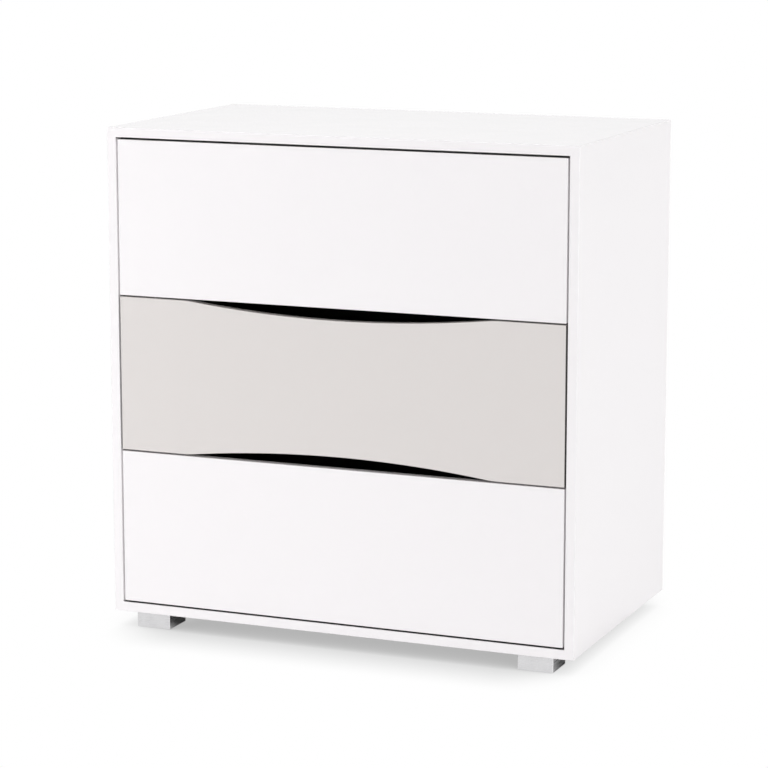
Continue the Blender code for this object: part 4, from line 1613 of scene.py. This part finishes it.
@dataclass
class Drawer:
    """One drawer: its front, its box and the fittings that join them."""

    level: Level
    cam_setback: float = 0.034
    cam_rises: Flat = (0.030, 0.160)
    cam: Head = Head(
        radius=0.0075, shank=0.0070, depth=0.0080, rise=0.00015, cross_length=0.0078, cross_width=0.0018,
        cross_depth=0.0030, sides=36
    )
    cam_seed: int = 11
    screw_rises: Flat = (0.026, 0.165)
    screw: Head = Head(rise=0.0003, sides=24)
    screw_seed: int = 17

    @property
    def body(self) -> str:
        """The CAD body that carries the drawer."""
        return f"drawer_{self.level.value}"

    def build(self, bench: Bench) -> None:
        """Dress the drawer and add its cams and screws.

        Args:
            bench: The bench that finishes the pieces.
        """
        scooped = self.level is Level.MIDDLE
        bench.dress(f"{self.body}_front", GREIGE_LACQUER if scooped else FRONT_LACQUER)
        for side in Side:
            bench.dress(f"{self.body}_side_{side.word}", SIDE_BOARD)
        bench.dress(f"{self.body}_back", BACK_BOARD)
        bench.dress(f"{self.body}_bottom", BOX_BOTTOM)
        self._add_cams(bench)
        self._add_screws(bench)

    def _add_cams(self, bench: Bench) -> None:
        """Set the cams that pull the sides to the front, flush in their inner faces.

        Args:
            bench: The bench that finishes the pieces.
        """
        points, facing = [], []
        for side in Side:
            low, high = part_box(f"{self.body}_side_{side.word}")
            inner_x = low.x if side is Side.RIGHT else high.x
            for rise in self.cam_rises:
                points.append(Vector((inner_x, low.y + self.cam_setback, low.z + rise)))
                facing.append(Vector((-side.value, 0.0, 0.0)))
        cams = (points, facing, self.cam, self.cam_seed, CAM_ZINC)
        bench.deliver(bench.fasteners.put(f"{self.body}_cams", *cams), self.body, CAM_ZINC)

    def _add_screws(self, bench: Bench) -> None:
        """Set the screws that join the sides to the back, flush in their outer faces.

        Args:
            bench: The bench that finishes the pieces.
        """
        points, facing = [], []
        for side in Side:
            low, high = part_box(f"{self.body}_side_{side.word}")
            outer_x = high.x if side is Side.RIGHT else low.x
            board = high.x - low.x
            for rise in self.screw_rises:
                points.append(Vector((outer_x, high.y - board / 2.0, low.z + rise)))
                facing.append(Vector((side.value, 0.0, 0.0)))
        heads = (points, facing, self.screw, self.screw_seed, SCREW_STEEL)
        bench.deliver(bench.fasteners.put(f"{self.body}_box_screws", *heads), self.body, SCREW_STEEL)


@dataclass
class Runner:
    """One telescopic ball runner: three rails, two cages, screws and a release lever."""

    level: Level
    side: Side
    sheet: float = 0.0012
    hole_pitch: float = 0.192
    wall_screw_rise: float = 0.00018
    box_screw_rise: float = 0.0004
    cage_sheet: float = 0.0004
    ball: float = 0.0032
    window_share: float = 0.94
    tip_margin: float = 0.0003
    ball_pitch: float = 0.050
    balls: int = 4
    lever_start: float = 0.060
    lever_length: float = 0.064
    lever_thickness: float = 0.0026
    lever_gap: float = 0.0003
    lever_edge: float = 0.0003
    lever_drop: float = 0.001
    lever_bow: float = 0.0055
    lever_bow_turn: float = 1.35
    lever_half: float = 0.0042
    lever_taper: float = 0.45
    lever_ends: Flat = (0.06, 0.97)
    lever_steps: int = 18

    @property
    def name(self) -> str:
        """The stem of the runner's node names."""
        return f"runner_{self.level.value}_{self.side.word}"

    def build(self, bench: Bench) -> None:
        """Dress the rails, then add the cages, the screws and the lever.

        Args:
            bench: The bench that finishes the pieces.
        """
        for rail in Rail:
            bench.dress(f"{self.name}_{rail.value}", RAIL_STEEL)
        for cage in Cage:
            self._add_cage(bench, cage)
        drawer = f"drawer_{self.level.value}"
        self._add_screws(bench, Rail.CABINET, "carcass")
        self._add_screws(bench, Rail.DRAWER, drawer)
        self._add_lever(bench, drawer)

    def _web_x(self, rail: Rail) -> float:
        """Find the face of a rail's web that looks into the runner.

        Args:
            rail: The rail.

        Returns:
            The X of that face.
        """
        low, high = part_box(f"{self.name}_{rail.value}")
        outward = self.side.value
        if rail is Rail.DRAWER:
            return (low.x if outward > 0 else high.x) + outward * self.sheet
        return (high.x if outward > 0 else low.x) - outward * self.sheet

    def _add_screws(self, bench: Bench, rail: Rail, body: str) -> None:
        """Set a screw in each hole of a rail's web.

        Args:
            bench: The bench that finishes the pieces.
            rail: The rail.
            body: The body that carries it.
        """
        low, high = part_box(f"{self.name}_{rail.value}")
        middle = (low + high) / 2.0
        on_box = rail is Rail.DRAWER
        way = self.side.value if on_box else -self.side.value
        face_x = self._web_x(rail)
        points = [Vector((face_x, middle.y + step * self.hole_pitch, middle.z)) for step in (-1, 0, 1)]
        facing = [Vector((way, 0.0, 0.0))] * len(points)
        name = f"{self.name}_{rail.value}_screws"
        head = Head(rise=self.box_screw_rise if on_box else self.wall_screw_rise)
        seed = len(name)
        screws = bench.fasteners.put(name, points, facing, head, seed, SCREW_STEEL)
        bench.deliver(screws, body, SCREW_STEEL)

    def _add_cage(self, bench: Bench, cage: Cage) -> None:
        """Build a ball cage in the place of its plain solid.

        Args:
            bench: The bench that finishes the pieces.
            cage: The cage.
        """
        node = f"{self.name}_{cage.value}"
        low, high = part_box(node)
        middle_z = (low.z + high.z) / 2.0
        rise = (high.z - low.z - self.ball) / 2.0
        outward = self.side.value
        web_x = (high.x if outward > 0 else low.x) - outward * self.cage_sheet / 2.0
        tip_x = low.x if outward > 0 else high.x
        row_x = tip_x + outward * (self.ball / 2.0 + self.tip_margin)
        path = [Vector((across, low.y, middle_z + way * rise))
                for across, way in ((tip_x, 1), (web_x, 1), (web_x, -1), (tip_x, -1))]
        first_y = (low.y + high.y) / 2.0 - (self.balls - 1) / 2.0 * self.ball_pitch
        values = {
            "Length": high.y - low.y, "Sheet": self.cage_sheet, "Ball Diameter": self.ball,
            "Window Diameter": self.ball * self.window_share, "Ball Pitch": self.ball_pitch,
            "Balls": self.balls, "First Ball": (row_x, first_y, middle_z), "Row Height": rise,
            "Strip Material": STRIP_STEEL.material(), "Ball Material": BALL_STEEL.material(),
        }
        piece = bench.cages.run(f"{node}_fine", line_mesh(node, [path]), values)
        bench.deliver(piece, f"{cage.value}s_{self.level.value}", STRIP_STEEL, [node])

    def _add_lever(self, bench: Bench, body: str) -> None:
        """Add the curved plastic lever that frees the drawer rail.

        Args:
            bench: The bench that finishes the pieces.
            body: The body that carries it.
        """
        low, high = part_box(f"{self.name}_{Rail.DRAWER.value}")
        middle_z = (low.z + high.z) / 2.0 - self.lever_drop
        outward = self.side.value
        face_x = self._web_x(Rail.DRAWER) + outward * self.lever_gap
        first, last = self.lever_ends
        upper, lower = [], []
        for step in range(self.lever_steps + 1):
            share = step / self.lever_steps
            along = low.y + self.lever_start + share * self.lever_length
            middle = middle_z + self.lever_bow * math.sin(math.pi * share * self.lever_bow_turn)
            swell = math.sqrt(math.sin(math.pi * (first + share * (last - first))))
            half = self.lever_half * (1.0 - self.lever_taper * share) * swell
            upper.append(Vector((face_x, along, middle + half)))
            lower.append(Vector((face_x, along, middle - half)))
        thickness = Vector((outward * self.lever_thickness, 0.0, 0.0))
        piece = plate(f"{self.name}_release_lever", upper + lower[::-1], thickness, bevel=self.lever_edge)
        bench.deliver(piece, body, BLACK_PLASTIC)


@dataclass(frozen=True)
class Lamp:
    """One soft rectangular area lamp."""

    name: str
    place: Space
    aim: Space
    width: float
    height: float
    power: float

    def hang(self) -> None:
        """Hang the lamp and turn it to its aim."""
        light = bpy.data.lights.new(self.name, "AREA")
        light.shape = "RECTANGLE"
        light.size = self.width
        light.size_y = self.height
        light.energy = self.power
        item = bpy.data.objects.new(self.name, light)
        item.location = self.place
        item.rotation_euler = (Vector(self.aim) - Vector(self.place)).to_track_quat("-Z", "Y").to_euler()
        bpy.context.scene.collection.objects.link(item)
        LOG.info("lamp %s: %.0f W", self.name, self.power)


@dataclass
class Studio:
    """A white floor with a soft painted shadow, even light from all round, and the camera."""

    floor_half: float = 30.0
    floor_colour: Rgb = (0.92, 0.92, 0.92)
    shadow_samples: int = 24
    shadow_reach: float = 0.15
    shadow_tone: float = 0.43
    shadow_end: float = 0.96
    mirrored_tone: float = 0.03
    mirrored_span: Flat = (0.30, 0.80)
    shadow_lean: float = 1.3
    lean_span_x: Flat = (0.30, 0.40)
    lean_span_y: Flat = (0.15, 0.22)
    sky_strength: float = 0.31
    camera_distance: float = 5.272
    camera_azimuth: float = 22.270
    camera_elevation: float = 10.170
    camera_turn: float = 22.449
    camera_pitch: float = 10.550
    camera_sensor: float = 36.0
    camera_lens: float = 132.81
    lamps: tuple[Lamp, ...] = (
        Lamp("key", (-2.3, -1.7, 0.9), (-0.2, 0.0, 0.5), width=1.3, height=1.3, power=22.0),
        Lamp("front", (3.2, -6.6, 0.6), (0.0, 0.0, 0.35), width=3.2, height=1.1, power=148.0),
        Lamp("overhead", (0.0, -0.5, 3.4), (0.0, -0.2, 0.9), width=3.0, height=2.6, power=49.0),
        Lamp("side", (3.6, 0.3, 0.48), (0.0, 0.0, 0.45), width=3.0, height=0.8, power=37.0),
        Lamp("rear", (-0.4, 4.6, 0.45), (0.0, 0.0, 0.45), width=2.6, height=0.8, power=66.0),
    )

    def build(self) -> None:
        """Lay the floor, light the room and place the camera."""
        bpy.context.scene.view_settings.view_transform = "Standard"
        self._lay_floor()
        self._light_room()
        for lamp in self.lamps:
            lamp.hang()
        self._place_camera()

    def _seen_white(self, sheet: NodeSheet) -> bpy.types.NodeSocket:
        """Mask the rays that see the white background: camera, glossy and glass.

        Args:
            sheet: The sheet of the floor or the world.

        Returns:
            The mask's socket.
        """
        rays = sheet.add("ShaderNodeLightPath").outputs
        mirrored = sheet.math("MAXIMUM", rays["Is Glossy Ray"], rays["Is Transmission Ray"])
        return sheet.math("MAXIMUM", rays["Is Camera Ray"], mirrored)

    def _openness(self, sheet: NodeSheet, axis: Axis, lean_span: Flat) -> bpy.types.NodeSocket:
        """Return how open the floor is to the light, which comes in outwards along one axis.

        Args:
            sheet: The floor's sheet.
            axis: The axis, X or Y.
            lean_span: The distances from the middle where the lean starts and is full.

        Returns:
            The openness, from 0 to 1.
        """
        place = sheet.add("ShaderNodeSeparateXYZ", {0: sheet.object_place()}).outputs[axis.value]
        lean = sheet.span(sheet.math("ABSOLUTE", place), *lean_span, 0.0, self.shadow_lean)
        outward = sheet.math("MULTIPLY", lean, sheet.math("SIGN", place))
        leaning = sheet.add("ShaderNodeCombineXYZ", {axis.value: outward, Axis.Z.value: 1.0}).outputs[0]
        inputs = {"Distance": self.shadow_reach, "Normal": sheet.vector("NORMALIZE", leaning)}
        open_air = sheet.add("ShaderNodeAmbientOcclusion", inputs, samples=self.shadow_samples)
        return open_air.outputs["AO"]

    def _lay_floor(self) -> None:
        """Lay a floor that is seen as white, with a soft shadow painted round what stands on it."""
        half = self.floor_half
        mesh = bpy.data.meshes.new("floor")
        corners = [(-half, -half, 0.0), (half, -half, 0.0), (half, half, 0.0), (-half, half, 0.0)]
        mesh.from_pydata(corners, [], [(0, 1, 2, 3)])
        floor = bpy.data.objects.new("floor", mesh)
        bpy.context.scene.collection.objects.link(floor)
        material = bpy.data.materials.new("studio_floor")
        material.use_nodes = True
        material.node_tree.nodes.clear()
        sheet = NodeSheet(material.node_tree)
        # Painted shadow: the tone that the floor emits falls with ambient occlusion near the chest and is
        # leaned outward at the sides; reflections see a darker painted shadow than the camera does.
        ahead = self._openness(sheet, Axis.Y, self.lean_span_y)
        aside = self._openness(sheet, Axis.X, self.lean_span_x)
        mirrored = sheet.span(ahead, *self.mirrored_span, self.mirrored_tone, 1.0)
        direct_tone = sheet.span(aside, 0.0, self.shadow_end, self.shadow_tone, 1.0)
        direct = sheet.add("ShaderNodeLightPath").outputs["Is Camera Ray"]
        tone = sheet.add("ShaderNodeMix", {0: direct, 2: mirrored, 3: direct_tone}).outputs[0]
        colour = sheet.add("ShaderNodeCombineColor", {0: tone, 1: tone, 2: tone}).outputs[0]
        white = sheet.add("ShaderNodeEmission", {"Color": colour, "Strength": 1.0})
        plain = sheet.add("ShaderNodeBsdfDiffuse", {"Color": (*self.floor_colour, 1.0)})
        lit_inputs = {0: self._seen_white(sheet), 1: plain.outputs[0], 2: white.outputs[0]}
        lit = sheet.add("ShaderNodeMixShader", lit_inputs)
        below = sheet.add("ShaderNodeNewGeometry").outputs["Backfacing"]
        clear = sheet.add("ShaderNodeBsdfTransparent")
        mixed = sheet.add("ShaderNodeMixShader", {0: below, 1: lit.outputs[0], 2: clear.outputs[0]})
        sheet.add("ShaderNodeOutputMaterial", {"Surface": mixed.outputs[0]})
        mesh.materials.append(material)
        LOG.info("floor: %.0f m wide", 2.0 * half)

    def _light_room(self) -> None:
        """Light the room evenly, with a white background where rays see it."""
        world = bpy.data.worlds.new("studio")
        world.use_nodes = True
        world.node_tree.nodes.clear()
        sheet = NodeSheet(world.node_tree)
        strength = sheet.span(self._seen_white(sheet), 0.0, 1.0, self.sky_strength, 1.0)
        sky = sheet.add("ShaderNodeBackground", {"Color": (1.0, 1.0, 1.0, 1.0), "Strength": strength})
        sheet.add("ShaderNodeOutputWorld", {"Surface": sky.outputs[0]})
        bpy.context.scene.world = world

    def _place_camera(self) -> None:
        """Place the camera at the photograph's viewing angle."""
        middle = (CAD_BOX[0] + CAD_BOX[1]) / 2.0
        middle.z = MIDDLE_Z
        azimuth = math.radians(self.camera_azimuth)
        rise = math.radians(self.camera_elevation)
        level = math.cos(rise)
        back = Vector((math.sin(azimuth) * level, -math.cos(azimuth) * level, math.sin(rise)))
        data = bpy.data.cameras.new("camera")
        data.sensor_width = self.camera_sensor
        data.lens = self.camera_lens
        data.clip_end = 4.0 * self.floor_half
        camera = bpy.data.objects.new("camera", data)
        camera.location = middle + back * self.camera_distance
        camera.rotation_euler = (
            math.radians(90.0 - self.camera_pitch), 0.0, math.radians(self.camera_turn)
        )
        bpy.context.scene.collection.objects.link(camera)
        bpy.context.scene.camera = camera


def main() -> None:
    """Build the studio and the chest's sub-assemblies, in order."""
    logging.basicConfig(level=logging.INFO, format="%(name)s: %(message)s")
    Studio().build()
    bench = Bench()
    Carcass().build(bench)
    Feet().build(bench)
    for level in Level:
        Drawer(level).build(bench)
        for side in Side:
            Runner(level, side).build(bench)
    LOG.info("%d pieces and solids finished", bench.count)


if __name__ == "__main__":
    main()
